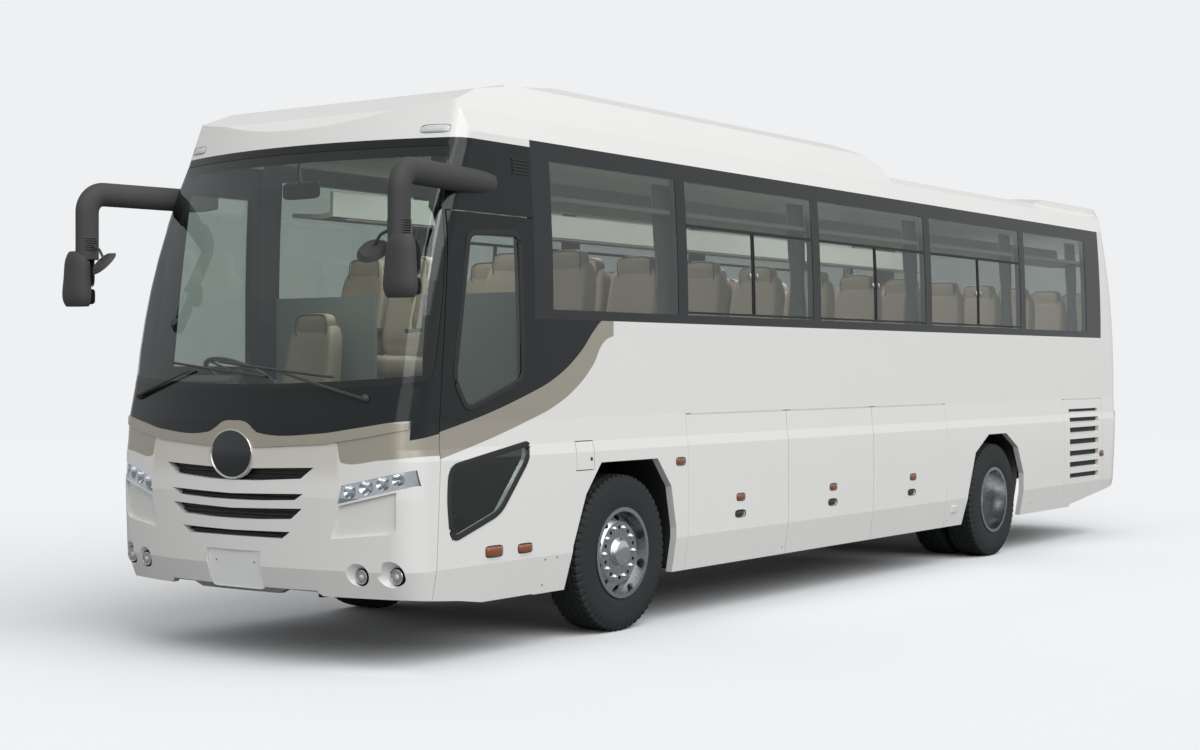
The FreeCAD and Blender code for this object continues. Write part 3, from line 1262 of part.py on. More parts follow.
def drilled(body, name, radius, ring):
    """Round holes through the wheel discs, patterned about the axle."""
    sketch = circle(body, f"{name}_circle", "XZ_Plane", radius, ZERO, ring)
    hole = body.newObject("PartDesign::Pocket", name)
    hole.Profile = sketch
    bind(hole, Length=wheel_reach)
    hole.Midplane = True
    pattern = body.newObject("PartDesign::PolarPattern", f"{name}_ring")
    pattern.Originals = [hole]
    pattern.Axis = (plane_of(body, "Y_Axis"), [""])
    pattern.Angle = 360
    pattern.Occurrences = stud_count
    body.Tip = pattern


for side, word in ((1, "left"), (-1, "right")):
    fronts = [(y * side, r) for y, r in front_wheel()]
    rears = [((y - twin_gap / 2) * side, r) for y, r in twin_wheel()]
    for name, x, line, middles in (
            ("front", axle_f, fronts, [ZERO]), ("rear", axle_r, rears, [ZERO, -twin_gap * side])):
        tyres = [tyre(f"tyre_{name}_{word}_{count}", x, wheel_y * side, m) for count, m in enumerate(middles)]
        node(f"tyre_{name}_{word}", group(f"tyres_{name}_{word}", tyres) if len(tyres) > 1 else tyres[0])
        wheel = turned_part(f"rim_body_{name}_{word}", [line], x, wheel_y * side, tyre_r)
        drilled(wheel, f"studs_{name}_{word}", stud_r, stud_ring)
        drilled(wheel, f"holes_{name}_{word}", hole_r, hole_ring)
        node(f"rim_{name}_{word}", wheel)


for side, word in ((1, "left"), (-1, "right")):
    hub_inner = wheel_y - hub_in
    pieces = []
    for sign, part_word in ((1, "upper"), (-1, "lower")):
        z0 = tyre_r + (eye_h / 2 + yoke_gap) * sign - (ZERO if sign > 0 else yoke_t)
        y0, y1 = across(kingpin_y, hub_inner, side)
        pieces.append(rod(f"yoke_{part_word}_{word}", eye_r, yoke_t, axle_f, kingpin_y * side, z0))
        pieces.append(box(f"yoke_bar_{part_word}_{word}", axle_f - eye_r, axle_f + eye_r, y0, y1, z0, z0 + yoke_t))
    pieces.append(rod(f"kingpin_{word}", kingpin_r, eye_h + yoke_gap * 2 + yoke_t, axle_f, kingpin_y * side,
                      tyre_r - eye_h / 2 - yoke_gap - yoke_t / 2))
    y0, y1 = across(kingpin_y + eye_r + yoke_gap, hub_inner, side)
    plate_up = eye_h / 2 + yoke_gap + yoke_t
    pieces.append(box(f"knuckle_plate_{word}", axle_f - eye_r, axle_f + eye_r, y0, y1, tyre_r - plate_up,
                      tyre_r + plate_up))
    y0, y1 = across(hub_inner, wheel_y + spindle_out, side)
    pieces.append(rod(f"spindle_{word}", spindle_r, y1 - y0, axle_f, y0, tyre_r, "y"))
    arm_z = tyre_r - plate_up
    y0, y1 = across(kingpin_y - arm_bar / 2, kingpin_y + arm_bar / 2, side)
    pieces.append(box(f"steer_arm_{word}", axle_f - steer_arm - arm_bar / 2, axle_f + eye_r / 2, y0, y1,
                      arm_z - arm_thick, arm_z))
    pieces.append(rod(f"tie_pin_{word}", tie_pin_r, arm_thick + tie_drop + tie_eye_r * 2, axle_f - steer_arm,
                      kingpin_y * side, arm_z - arm_thick - tie_drop - tie_eye_r * 2))
    node(f"knuckle_{word}", fuse(f"knuckle_body_{word}", pieces))

arm_z = tyre_r - (eye_h / 2 + yoke_gap + yoke_t) - arm_thick - tie_drop
tie_parts = [rod("tie_bar", tie_r, (kingpin_y - tie_eye_r / 2) * 2, axle_f - steer_arm, -(kingpin_y - tie_eye_r / 2),
                 arm_z - tie_eye_r, "y")]
for side in (1, -1):
    tie_parts.append(rod("tie_eye", tie_eye_r, tie_eye_r * 2, axle_f - steer_arm, kingpin_y * side,
                         arm_z - tie_eye_r * 2))
tie_bores = [rod("tie_bore", tie_pin_r + pin_play, tie_eye_r * 2 + over * 2, axle_f - steer_arm, kingpin_y * side,
                 arm_z - tie_eye_r * 2 - over) for side in (1, -1)]
node("tie_rod", cut("tie", fuse("tie_solid", tie_parts), tie_bores))

beam_end = kingpin_y - beam_in
beam = box("beam", axle_f - beam_w / 2, axle_f + beam_w / 2, -beam_end, beam_end,
           tyre_r - beam_drop - beam_h / 2, tyre_r - beam_drop + beam_h / 2)
ends = []
for side in (1, -1):
    y0, y1 = across(beam_end - beam_rise / 2, kingpin_y, side)
    ends.append(box("beam_rise", axle_f - beam_w / 2, axle_f + beam_w / 2,
                    *across(beam_end - beam_rise / 2, beam_end + beam_rise / 2, side),
                    tyre_r - beam_drop - beam_h / 2, tyre_r + eye_h / 2))
    ends.append(box("beam_end", axle_f - beam_w / 2, axle_f + beam_w / 2, y0, y1, tyre_r - eye_h / 2,
                    tyre_r + eye_h / 2))
    ends.append(rod("beam_eye", eye_r, eye_h, axle_f, kingpin_y * side, tyre_r - eye_h / 2))
seats = []
for side in (1, -1):
    y0, y1 = across(rail_y0, rail_y0 + rail_w, side)
    seats.append(rod("bellows", bellows_r, rail_z0 - tyre_r + beam_drop, axle_f, (y0 + y1) / 2, tyre_r - beam_drop))
eye_bores = [rod("eye_bore", kingpin_r + pin_play, eye_h + over * 2, axle_f, kingpin_y * side,
                 tyre_r - eye_h / 2 - over) for side in (1, -1)]
node("front_axle", cut("front_axle_body", fuse("front_axle_solid", [beam] + ends + seats), eye_bores))

rear_bits = [rod("axle_tube", tube_r, (wheel_y + tube_end) * 2, axle_r, -(wheel_y + tube_end), tyre_r, "y"),
             rod("bowl", bowl_r, bowl_r, axle_r, -bowl_r / 2, tyre_r, "y")]
for side in (1, -1):
    y0, y1 = across(rail_y0, rail_y0 + rail_w, side)
    rear_bits.append(rod("rear_bellows", bellows_r, rail_z0 - tyre_r, axle_r, (y0 + y1) / 2, tyre_r))
node("rear_axle", fuse("rear_axle_body", rear_bits))

engine = along(engine_pts, rear_x)
node("engine_block", box("engine_box", engine[0][0], engine[1][0], -engine_half, engine_half, engine[0][1],
                         engine[1][1]))

# Saloon
seat_first = axle_f + seat_first_off
seat_rows = {1: range(12), -1: [0, 1, 2, 3, 4, 5, 6, 7, 8, 11]}


def chair(name, x, y0, y1, floor, feet):
    """Seats in side view carried across between two y values, on their feet."""
    parts = [side_prism(name, [(x + a, floor + b) for a, b in chair_line_pts], y0, y1)]
    foot_line = [(x + a, floor + b) for a, b in foot_line_pts]
    return fuse(f"{name}_whole", parts + [side_prism(f"{name}_foot", foot_line, f0, f1) for f0, f1 in feet])


chairs = []
for side, word in ((1, "left"), (-1, "right")):
    y0, y1 = across(seat_in, seat_out, side)
    middle = (y0 + y1) / 2
    feet = [across(seat_in + foot_w, seat_in + foot_w * 2, side), across(seat_out - foot_w * 2, seat_out - foot_w, side)]
    for count in seat_rows[side]:
        x = seat_first - seat_pitch * count
        split = box("back_split", x + chair_line_pts[10][0], x + chair_line_pts[1][0], middle - back_gap / 2,
                    middle + back_gap / 2, floor_z + back_low, floor_z + chair_line_pts[8][1])
        chairs.append(cut(f"chair_{word}", chair(f"pair_{word}", x, y0, y1, floor_z, feet), split))
node("passenger_seats", group("chairs", chairs))

driver_x = axle_f + driver_x_off
node("driver_seat", chair("driver_chair", driver_x, -(driver_y + driver_half), -(driver_y - driver_half), cab_floor_z,
                          [(-(driver_y + driver_post), -(driver_y - driver_post))]))

wheel_x = axle_f + wheel_x_off
tilt = FreeCAD.Rotation(V(0, 1, 0), -column_tilt_deg)


def column(name, radius, length):
    """A round bar down the steering column from behind the steering wheel."""
    bar = doc.addObject("Part::Cylinder", name)
    bind(bar, Radius=radius, Height=length)
    bar.Placement.Rotation = FreeCAD.Rotation(V(0, 1, 0), 180 - column_tilt_deg)
    return place(bar, wheel_x, -driver_y, wheel_z + wheel_wire * 2)


dash_body = common("dash_body", side_prism("dash_side", along(dash_line_pts, axle_f), -dash_out, dash_out),
                   end_solid("dash_form", dash_line_pts[0][1], screen_low_z, wall + dash_play, True))
hood = side_prism("hood", along(hood_line_pts, axle_f), -(driver_y + hood_half), -(driver_y - hood_half))
node("dashboard", cut("dash", fuse("dash_hooded", [dash_body, hood]),
                      column("column_bore", column_r + dash_play, column_l + dash_play)))

ring = doc.addObject("Part::Torus", "steering_ring")
bind(ring, Radius1=wheel_out, Radius2=wheel_wire)
ring.Placement.Rotation = tilt
place(ring, wheel_x, -driver_y, wheel_z)
spokes = []
for count in range(spoke_count):
    spoke = doc.addObject("Part::Box", "spoke")
    bind(spoke, Length=wheel_out - wheel_wire / 4, Width=wheel_wire * 1.5, Height=wheel_wire / 2)
    spoke.Placement.Rotation = tilt.multiply(FreeCAD.Rotation(V(0, 0, 1), 90 + 360 * count / spoke_count))
    spokes.append(place(spoke, wheel_x, -driver_y, wheel_z))
node("steering_wheel", fuse("steering", [ring, column("column", column_r, column_l)] + spokes))

rack_fore = split_f - rack_fore_off
rack_aft = split_r + rack_aft_off
racks = []
for side, word in ((1, "left"), (-1, "right")):
    section = front_prism(f"rack_section_{word}", [(y * side, z) for y, z in rack_line_pts], rack_aft, rack_fore)
    roof_in = skin(f"rack_form_{word}", rack_aft - over, rack_fore + over, waist_z, band_top_z, wall, half_width, side)
    racks.append(common(f"rack_{word}", section, roof_in))
node("parcel_racks", group("rack_pair", racks))

part_x = axle_f + part_x_off
partitions = []
for side in (1, -1):
    y0, y1 = across(seat_in, duct_y - duct_w, side)
    partitions.append(box("partition", part_x - part_t, part_x, y0, y1, floor_z, floor_z + part_top))
node("partitions", group("partition_pair", partitions))

# Mirrors


def pipe(name, points, tall, flat, bend):
    """An oval bar through a row of points in one upright plane, with rounded bends."""
    spine = [pt(*point) for point in points]
    edges, start = [], spine[0]
    for before, corner, after in zip(spine, spine[1:], spine[2:]):
        one, two = (before - corner).normalize(), (after - corner).normalize()
        half = one.getAngle(two) / 2
        reach = float(bend) / math.tan(half)
        first, last = corner + one * reach, corner + two * reach
        towards = (one + two).normalize()
        middle = corner + towards * (float(bend) / math.sin(half) - float(bend))
        edges.append(Part.makeLine(start, first))
        edges.append(Part.Arc(first, middle, last).toShape())
        start = last
    edges.append(Part.makeLine(start, spine[-1]))
    run = (spine[1] - spine[0]).normalize()
    side = run.cross(V(0, 0, 1)).normalize()
    rise = side.cross(run)
    ring = Part.Ellipse(spine[0] + rise * float(tall), spine[0] + side * float(flat), spine[0])
    return solid(name, Part.Wire(edges).makePipeShell([Part.Wire(ring.toShape())], True, False))


arm = pipe("mirror_arm", along(mirror_path_pts, axle_f), mirror_tall, mirror_flat, mirror_bend)
arm = cut("mirror_arm_cut", arm, end_solid("mirror_trim", screen_low_z, band_top_z, ZERO, True))
shells = []
for x, z, half_x, half_y in head_pts:
    shells.append(Part.Wire(Part.Ellipse(pt(axle_f + x, mirror_y + half_y, z), pt(axle_f + x - half_x, mirror_y, z),
                                         pt(axle_f + x, mirror_y, z)).toShape()))
head = solid("mirror_shell", Part.makeLoft(shells, True, False))
back = axle_f + mirror_back_off
head = cut("mirror_head", head, box("mirror_face", back - over * 2, back, mirror_y - half_width, mirror_y + half_width,
                                    head_pts[-1][1], head_pts[0][1]))
stalk = pipe("mirror_stalk", along(stalk_pts, axle_f), stalk_r + stalk_r / 8, stalk_r, stalk_bend)
dish = doc.addObject("Part::Cone", "mirror_dish")
bind(dish, Radius1=dish_face, Radius2=dish_back, Height=dish_deep)
dish.Placement.Rotation = FreeCAD.Rotation(V(0, 0, 1), V(*dish_shares))
place(dish, axle_f + stalk_pts[-1][0], stalk_pts[-1][1], stalk_pts[-1][2] - dish_deep)
mirror_one = fuse("mirror_all", [arm, head, stalk, dish])
node("mirrors", group("mirror_pair", [mirror_one, mirrored("mirror_two", mirror_one)]))

doc.recompute()
os.makedirs("parts", exist_ok=True)
for item in doc.Objects:
    if "Invalid" in item.State or "Error" in item.State:
        raise RuntimeError(f"{item.Name} did not build")
for label, piece in nodes:
    if piece.Shape.isNull() or not piece.Shape.isValid() or not piece.Shape.Solids:
        raise RuntimeError(f"{label} is not a sound solid")
for label, piece in nodes:
    piece.Shape.exportStep(f"parts/{label}.step")
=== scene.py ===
"""Looks of a high-deck touring coach: finishes, lamps, trim, seats, curtains and light."""
import enum
import logging
import math
from collections.abc import Sequence
from dataclasses import dataclass, field

import bmesh
import bpy
import numpy as np
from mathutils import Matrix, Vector


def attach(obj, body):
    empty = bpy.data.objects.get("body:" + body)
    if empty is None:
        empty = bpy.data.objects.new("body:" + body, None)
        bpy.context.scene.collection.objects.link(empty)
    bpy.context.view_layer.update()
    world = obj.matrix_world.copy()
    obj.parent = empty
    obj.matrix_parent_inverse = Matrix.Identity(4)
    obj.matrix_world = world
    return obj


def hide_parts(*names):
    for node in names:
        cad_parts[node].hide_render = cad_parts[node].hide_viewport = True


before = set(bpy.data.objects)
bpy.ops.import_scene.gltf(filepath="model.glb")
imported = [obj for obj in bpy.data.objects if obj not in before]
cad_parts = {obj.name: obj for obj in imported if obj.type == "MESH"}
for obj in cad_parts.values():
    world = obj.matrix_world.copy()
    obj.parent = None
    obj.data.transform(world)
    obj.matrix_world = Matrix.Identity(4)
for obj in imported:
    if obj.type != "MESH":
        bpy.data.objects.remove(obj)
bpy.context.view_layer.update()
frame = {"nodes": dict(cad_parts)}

LOG = logging.getLogger("coach")
Array = np.ndarray
Colour = tuple[float, float, float]
Point = tuple[float, float, float]
Pair = tuple[float, float]

AXLE_F = 3.545  # front axle in the frame, metres along X
AXLE_R = -2.535
FRONT_X = 5.945
REAR_X = -6.045
WAIST_Z = 1.433
BAND_LOW_Z = 2.056
BAND_TOP_Z = 3.165
TYRE_R = 0.522
WHEEL_Y = 1.045
TWIN_GAP = 0.335
FLOOR_Z = 1.38
SKIRT_Z = 0.345
SCREEN_Z = 1.634
SIDES = (("left", 1), ("right", -1))


class Signal:
    """A node output, or a number, whose arithmetic adds Math nodes."""

    def __init__(self, graph: "Graph", socket: bpy.types.NodeSocket) -> None:
        """Wraps one output socket of a graph."""
        self.graph, self.socket = graph, socket

    def _math(self, operation: str, *values: "Signal | float") -> "Signal":
        """One Math node on the values."""
        return self.graph.node("ShaderNodeMath", {"operation": operation}, list(values))

    def __add__(self, other: "Signal | float") -> "Signal":
        """Sum."""
        return self._math("ADD", self, other)

    __radd__ = __add__

    def __sub__(self, other: "Signal | float") -> "Signal":
        """Difference."""
        return self._math("SUBTRACT", self, other)

    def __rsub__(self, other: "Signal | float") -> "Signal":
        """Difference with a number first."""
        return self._math("SUBTRACT", other, self)

    def __mul__(self, other: "Signal | float") -> "Signal":
        """Product."""
        return self._math("MULTIPLY", self, other)

    __rmul__ = __mul__

    def __truediv__(self, other: "Signal | float") -> "Signal":
        """Quotient."""
        return self._math("DIVIDE", self, other)

    def __rtruediv__(self, other: "Signal | float") -> "Signal":
        """Quotient with a number first."""
        return self._math("DIVIDE", other, self)

    def __gt__(self, other: "Signal | float") -> "Signal":
        """1 where it is greater."""
        return self._math("GREATER_THAN", self, other)

    def __lt__(self, other: "Signal | float") -> "Signal":
        """1 where it is less."""
        return self._math("LESS_THAN", self, other)

    def __abs__(self) -> "Signal":
        """Absolute value."""
        return self._math("ABSOLUTE", self)

    def fold(self, period: float) -> "Signal":
        """Distance to the nearest whole multiple of a period."""
        return self._math("PINGPONG", self, period / 2)

    def ramp(self, low: float, high: float) -> "Signal":
        """0 at low and 1 at high, smooth between."""
        return self.graph.node("ShaderNodeMapRange", {"interpolation_type": "SMOOTHSTEP"},
                               {"Value": self, "From Min": low, "From Max": high})

    def most(self, other: "Signal | float") -> "Signal":
        """The larger of two."""
        return self._math("MAXIMUM", self, other)

    def least(self, other: "Signal | float") -> "Signal":
        """The smaller of two."""
        return self._math("MINIMUM", self, other)

    def step(self) -> "Signal":
        """0 below zero and 1 above it, over two millimetres."""
        return self.ramp(-0.001, 0.001)


class Graph:
    """The node tree of one finish."""

    def __init__(self, name: str) -> None:
        """Makes an empty material."""
        self.material = bpy.data.materials.new(name)
        self.material.use_nodes = True
        self.tree = self.material.node_tree
        self.tree.nodes.clear()

    def node(self, kind: str, settings: dict | None = None, inputs: dict | list | None = None,
             out: int | str = 0) -> Signal:
        """Adds a node.

        Args:
            kind: its type name.
            settings: attributes set before its inputs; "curve" fills a float curve.
            inputs: socket name or index to a value or a Signal.
            out: the output that is handed back.

        Returns:
            The output as a Signal.
        """
        made = self.tree.nodes.new(kind)
        for key, value in (settings or {}).items():
            if key == "curve":
                points = made.mapping.curves[0].points
                while len(points) < len(value):
                    points.new(0.5, 0.5)
                for point, place in zip(points, value):
                    point.location = place
                made.mapping.update()
            else:
                setattr(made, key, value)
        pairs = inputs.items() if isinstance(inputs, dict) else enumerate(inputs or [])
        for key, value in pairs:
            if isinstance(value, Signal):
                self.tree.links.new(value.socket, made.inputs[key])
            else:
                made.inputs[key].default_value = value
        return Signal(self, made.outputs[out]) if len(made.outputs) else None

    def place(self) -> tuple[Signal, Signal, Signal]:
        """X, Y and Z of the surface in the frame."""
        coordinates = self.node("ShaderNodeTexCoord", out="Object")
        return tuple(self.node("ShaderNodeSeparateXYZ", inputs=[coordinates], out=axis) for axis in range(3))

    def noise(self, scale: float, detail: float = 3.0, stretch: Point = (1.0, 1.0, 1.0)) -> Signal:
        """Soft noise in the frame, at a scale in cells a metre."""
        coordinates = self.node("ShaderNodeTexCoord", out="Object")
        mapped = self.node("ShaderNodeMapping", inputs={"Vector": coordinates, "Scale": stretch})
        return self.node("ShaderNodeTexNoise", inputs={"Vector": mapped, "Scale": scale, "Detail": detail})

    def mix(self, mask: Signal | float, one: "Signal | Colour", two: "Signal | Colour") -> Signal:
        """Colour one where the mask is 0 and two where it is 1."""
        one, two = ((*c, 1.0) if isinstance(c, tuple) else c for c in (one, two))
        return self.node("ShaderNodeMix", {"data_type": "RGBA"}, {0: mask, 6: one, 7: two}, out=2)

    def bump(self, height: Signal, depth: float) -> Signal:
        """A normal from a height between 0 and 1, with a depth in metres."""
        return self.node("ShaderNodeBump", inputs={"Height": height, "Distance": depth, "Strength": 1.0})

    def close(self, **sockets: "Signal | float | Colour") -> bpy.types.Material:
        """Ends the tree in a principled shader.

        Args:
            sockets: shader inputs by name with _ for each space; colours are triples.

        Returns:
            The finished material.
        """
        inputs = {}
        for key, value in sockets.items():
            inputs[key.replace("_", " ")] = (*value, 1.0) if isinstance(value, tuple) else value
        shader = self.node("ShaderNodeBsdfPrincipled", inputs=inputs)
        self.node("ShaderNodeOutputMaterial", inputs={"Surface": shader})
        return self.material


class Livery(enum.Enum):
    """The painted pattern that a panel carries."""

    PLAIN = "plain"
    SIDE = "side"
    FRONT = "front"
    BUMPER = "bumper"


@dataclass(frozen=True)
class Paint:
    """Pearl paint under clear coat, with the champagne stripe and the black fields where they run.

    The masks take frame X, the distance from the centre plane and frame Z.
    """

    livery: Livery = Livery.PLAIN
    white: Colour = (0.80, 0.80, 0.77)
    shade: Colour = (0.74, 0.74, 0.715)
    champagne: Colour = (0.42, 0.39, 0.32)
    pearl: Colour = (0.66, 0.635, 0.57)
    black: Colour = (0.010, 0.013, 0.014)
    roughness: float = 0.32
    coat: float = 0.6
    side_upper: tuple[Pair, ...] = (
        (3.70, 2.10), (3.835, 2.06), (3.926, 1.995), (4.08, 1.852), (4.328, 1.698), (4.566, 1.608),
        (5.48, 1.379), (5.95, 1.31))
    side_lower: tuple[Pair, ...] = (
        (3.70, 1.96), (3.80, 1.93), (3.95, 1.76), (4.15, 1.61), (4.36, 1.51), (4.566, 1.444),
        (5.48, 1.225), (5.95, 1.15))
    front_upper: tuple[Pair, ...] = (
        (0.0, 1.437), (0.085, 1.432), (0.168, 1.386), (0.217, 1.366), (0.653, 1.370), (0.894, 1.405),
        (1.19, 1.447), (1.25, 1.447))
    front_lower: tuple[Pair, ...] = (
        (0.0, 1.281), (0.174, 1.281), (0.69, 1.309), (0.76, 1.316), (0.80, 1.205), (1.05, 1.222),
        (1.25, 1.245))
    fog_wells: tuple[Point, ...] = ((0.912, 0.548, 0.050), (1.122, 0.556, 0.052))

    def build(self, name: str) -> bpy.types.Material:
        """Builds the paint; height and stripe masks come from the place in the frame."""
        graph = Graph(name)
        x, y, z = graph.place()
        flake = graph.noise(900.0, 2.0)
        wave = graph.noise(1.3, 2.0)
        dust = (1 - z.ramp(0.3, 0.75)) * graph.noise(5.0, 4.0)
        colour = graph.mix(wave * 0.35 + dust * 0.4, self.white, self.shade)
        rough = flake * 0.08 + dust * 0.2 + self.roughness
        metal: Signal | float = 0.0
        gloss: Signal | float = self.coat
        if self.livery is not Livery.PLAIN:
            masks = {Livery.SIDE: self.side_masks, Livery.FRONT: self.front_masks,
                     Livery.BUMPER: self.fog_masks}
            stripe, black_field = masks[self.livery](x, abs(y), z)
            if self.livery is Livery.FRONT:
                colour = graph.mix(self.pearl_mask(abs(y), z), colour, self.pearl)
            colour = graph.mix(stripe, colour, self.champagne)
            colour = graph.mix(black_field, colour, self.black)
            metal = stripe * 0.45
            rough = rough * (1 - black_field * 0.6)
            gloss = (1 - black_field * 0.9) * self.coat
        return graph.close(Base_Color=colour, Roughness=rough, Metallic=metal, Coat_Weight=gloss,
                           Coat_Roughness=0.06, Specular_IOR_Level=0.35, Normal=graph.bump(flake, 0.00001))

    def over(self, along: Signal, z: Signal, line: Sequence[Pair], top: float) -> Signal:
        """Where a height is over an edge of a stripe.

        Args:
            along: the place along the stripe.
            z: the height.
            line: corners of the edge, along and up.
            top: height at the top of the float curve that holds the edge, whose foot is at 1.

        Returns:
            0 under the edge and 1 over it.
        """
        start, length, rise = line[0][0], line[-1][0] - line[0][0], top - 1.0
        curve = [((a - start) / length, (b - 1.0) / rise) for a, b in line]
        place = (along - start) / length
        share = along.graph.node("ShaderNodeFloatCurve", {"curve": curve}, {"Value": place})
        return (z - (share * rise + 1.0)).step()

    def side_masks(self, x: Signal, y: Signal, z: Signal) -> tuple[Signal, Signal]:
        """Masks of the rising stripe beside the door and of the black field over it and on the jambs."""
        high = self.over(x, z, self.side_upper, 2.1)
        stripe = self.over(x, z, self.side_lower, 2.1) * (1 - high) * x.ramp(3.70, 3.72) * (1 - (z > 2.058))
        jamb = (y < 1.17) * (x > 4.55) * (z < 1.7)
        return stripe * (y > 1.17), (high * x.ramp(3.82, 3.83) * (z < 3.12)).most(jamb)

    def front_masks(self, x: Signal, y: Signal, z: Signal) -> tuple[Signal, Signal]:
        """Masks of the moulding across the front and of the black field over it and at the corner."""
        corner = y.ramp(1.188, 1.192)
        side_high = (z - 1.336 + (x - 5.70) * 0.15).step()
        high = self.over(y, z, self.front_upper, 1.5) * (1 - corner) + side_high * corner
        return self.over(y, z, self.front_lower, 1.5) * (1 - high), high

    def pearl_mask(self, y: Signal, z: Signal) -> Signal:
        """Mask of the pale pearl field between the headlamps, faded out downwards."""
        return z.ramp(1.06, 1.20) * (1 - y.ramp(0.76, 0.80))

    def fog_masks(self, x: Signal, y: Signal, z: Signal) -> tuple[Signal, Signal]:
        """An empty mask, for no stripe, and the mask of the black wells round the fog lamps."""
        wells = [1 - ((y - a) * (y - a) + (z - b) * (z - b)).ramp(r * r, r * r + 0.0004)
                 for a, b, r in self.fog_wells]
        low = (1 - z.ramp(0.452, 0.456)) * (1 - y.ramp(0.60, 0.62)) * 0.75
        return x * 0.0, wells[0].most(wells[1]).most(low) * (x > 5.5)


@dataclass(frozen=True)
class Moulding:
    """Moulded plastic or rubber: fine grain, faint blotches and a dusty bloom."""

    colour: Colour
    roughness: float = 0.5
    grain: float = 700.0
    depth: float = 0.00008
    bloom: float = 0.25
    coat: float = 0.0

    def build(self, name: str) -> bpy.types.Material:
        """Builds the moulding."""
        graph = Graph(name)
        grain, blotch = graph.noise(self.grain), graph.noise(4.0, 4.0)
        pale = tuple(min(1.0, c * 1.5 + 0.01) for c in self.colour)
        return graph.close(Base_Color=graph.mix(blotch * self.bloom, self.colour, pale),
                           Roughness=blotch * 0.16 + (self.roughness - 0.08), Coat_Weight=self.coat,
                           Coat_Roughness=0.08, Normal=graph.bump(grain, self.depth))


@dataclass(frozen=True)
class Louvre:
    """Black slats: fine level bars cut by upright posts, with painted shade in the gaps between the bars and
    along the posts.
    """

    colour: Colour = (0.03, 0.033, 0.034)
    pitch: float = 0.022
    post_pitch: float = 0.12

    def build(self, name: str) -> bpy.types.Material:
        """Builds the slats from the folded height; their depth is a bump, and the gaps carry a painted shade.
        """
        graph = Graph(name)
        _, y, z = graph.place()
        bar = z.fold(self.pitch).ramp(self.pitch * 0.12, self.pitch * 0.34)
        post = y.fold(self.post_pitch).ramp(0.002, 0.006)
        mask = bar.least(post)
        # painted shade: the gaps and post lines take a quarter of the slat colour, for the shade inside the
        # openings
        gap_shade = tuple(c * 0.25 for c in self.colour)
        return graph.close(Base_Color=graph.mix(mask, gap_shade, self.colour),
                           Roughness=graph.noise(40.0) * 0.2 + 0.35, Normal=graph.bump(mask, 0.006))


@dataclass(frozen=True)
class Metal:
    """Bare, plated or painted metal with faint streaks."""

    colour: Colour
    roughness: float = 0.15
    metallic: float = 1.0
    streak: Point = (1.0, 1.0, 1.0)

    def build(self, name: str) -> bpy.types.Material:
        """Builds the metal."""
        graph = Graph(name)
        streak, blotch = graph.noise(160.0, 3.0, self.streak), graph.noise(6.0, 4.0)
        dull = tuple(c * 0.82 for c in self.colour)
        return graph.close(Base_Color=graph.mix(blotch * 0.5, self.colour, dull), Metallic=self.metallic,
                           Roughness=streak * 0.08 + blotch * 0.06 + self.roughness,
                           Normal=graph.bump(streak, 0.000004))


@dataclass(frozen=True)
class Glass:
    """Tinted glass under a sky gloss, with a black printed edge where it is the windscreen."""

    tint: Colour = (0.42, 0.47, 0.45)
    mirror: float = 0.02
    printed: bool = False
    ink: tuple[float, float, float, float] = (0.012, 0.014, 0.014, 1.0)

    def build(self, name: str) -> bpy.types.Material:
        """Builds the glass from a clear and a glossy shader mixed by angle; the print is a frame mask."""
        graph = Graph(name)
        clear = graph.node("ShaderNodeBsdfTransparent", inputs={"Color": (*self.tint, 1.0)})
        ripple = graph.noise(0.8, 2.0)
        gloss = graph.node("ShaderNodeBsdfGlossy", inputs={"Color": (0.9, 0.95, 0.95, 1.0), "Roughness": 0.03,
                                                           "Normal": graph.bump(ripple, 0.002)})
        angle = graph.node("ShaderNodeFresnel", inputs={"IOR": 1.5})
        behind = graph.node("ShaderNodeNewGeometry", out="Backfacing")
        share = (angle * 0.9 + self.mirror) * (1 - behind)
        mixed = graph.node("ShaderNodeMixShader", inputs=[share, clear, gloss])
        if self.printed:
            _, y, z = graph.place()
            foot = 1 - (z - 1.655 - y * y * 0.035).step()
            head = (z - 3.005).step()
            flank = (abs(y) - 1.205 + (z - 1.7) * 0.035).step()
            ink = graph.node("ShaderNodeBsdfPrincipled", inputs={"Base Color": self.ink, "Roughness": 0.16})
            mixed = graph.node("ShaderNodeMixShader", inputs=[foot.most(head).most(flank), mixed, ink])
        graph.node("ShaderNodeOutputMaterial", inputs={"Surface": mixed})
        return graph.material


@dataclass(frozen=True)
class Cloth:
    """Woven or knitted cloth: two thread waves crossed, with a soft fading down the folds."""

    colour: Colour
    thread: float = 0.0016
    depth: float = 0.00003

    def build(self, name: str) -> bpy.types.Material:
        """Builds the cloth."""
        graph = Graph(name)
        x, y, z = graph.place()
        warp, weft = (way.fold(self.thread).ramp(0.0, self.thread / 2) for way in (x + y, z))
        weave = warp.most(weft)
        fade = graph.noise(3.0, 3.0)
        deep = tuple(c * 0.7 for c in self.colour)
        return graph.close(Base_Color=graph.mix(fade * 0.6 + weave * 0.2, self.colour, deep),
                           Roughness=fade * 0.1 + 0.8, Normal=graph.bump(weave, self.depth))


@dataclass(frozen=True)
class Leather:
    """Grained leather with creases and a faint shine where it is rubbed."""

    colour: Colour
    roughness: float = 0.45

    def build(self, name: str) -> bpy.types.Material:
        """Builds the leather from a cell grain over slow creases."""
        graph = Graph(name)
        coordinates = graph.node("ShaderNodeTexCoord", out="Object")
        cells = graph.node("ShaderNodeTexVoronoi", {"feature": "DISTANCE_TO_EDGE"},
                           {"Vector": coordinates, "Scale": 420.0})
        creases, wear = graph.noise(28.0, 5.0), graph.noise(3.5, 3.0)
        deep = tuple(c * 0.62 for c in self.colour)
        return graph.close(Base_Color=graph.mix(wear * 0.5 + creases * 0.3, self.colour, deep),
                           Roughness=creases * 0.15 + self.roughness - 0.08,
                           Normal=graph.bump(cells.ramp(0.0, 0.12) + creases * 0.8, 0.0004))


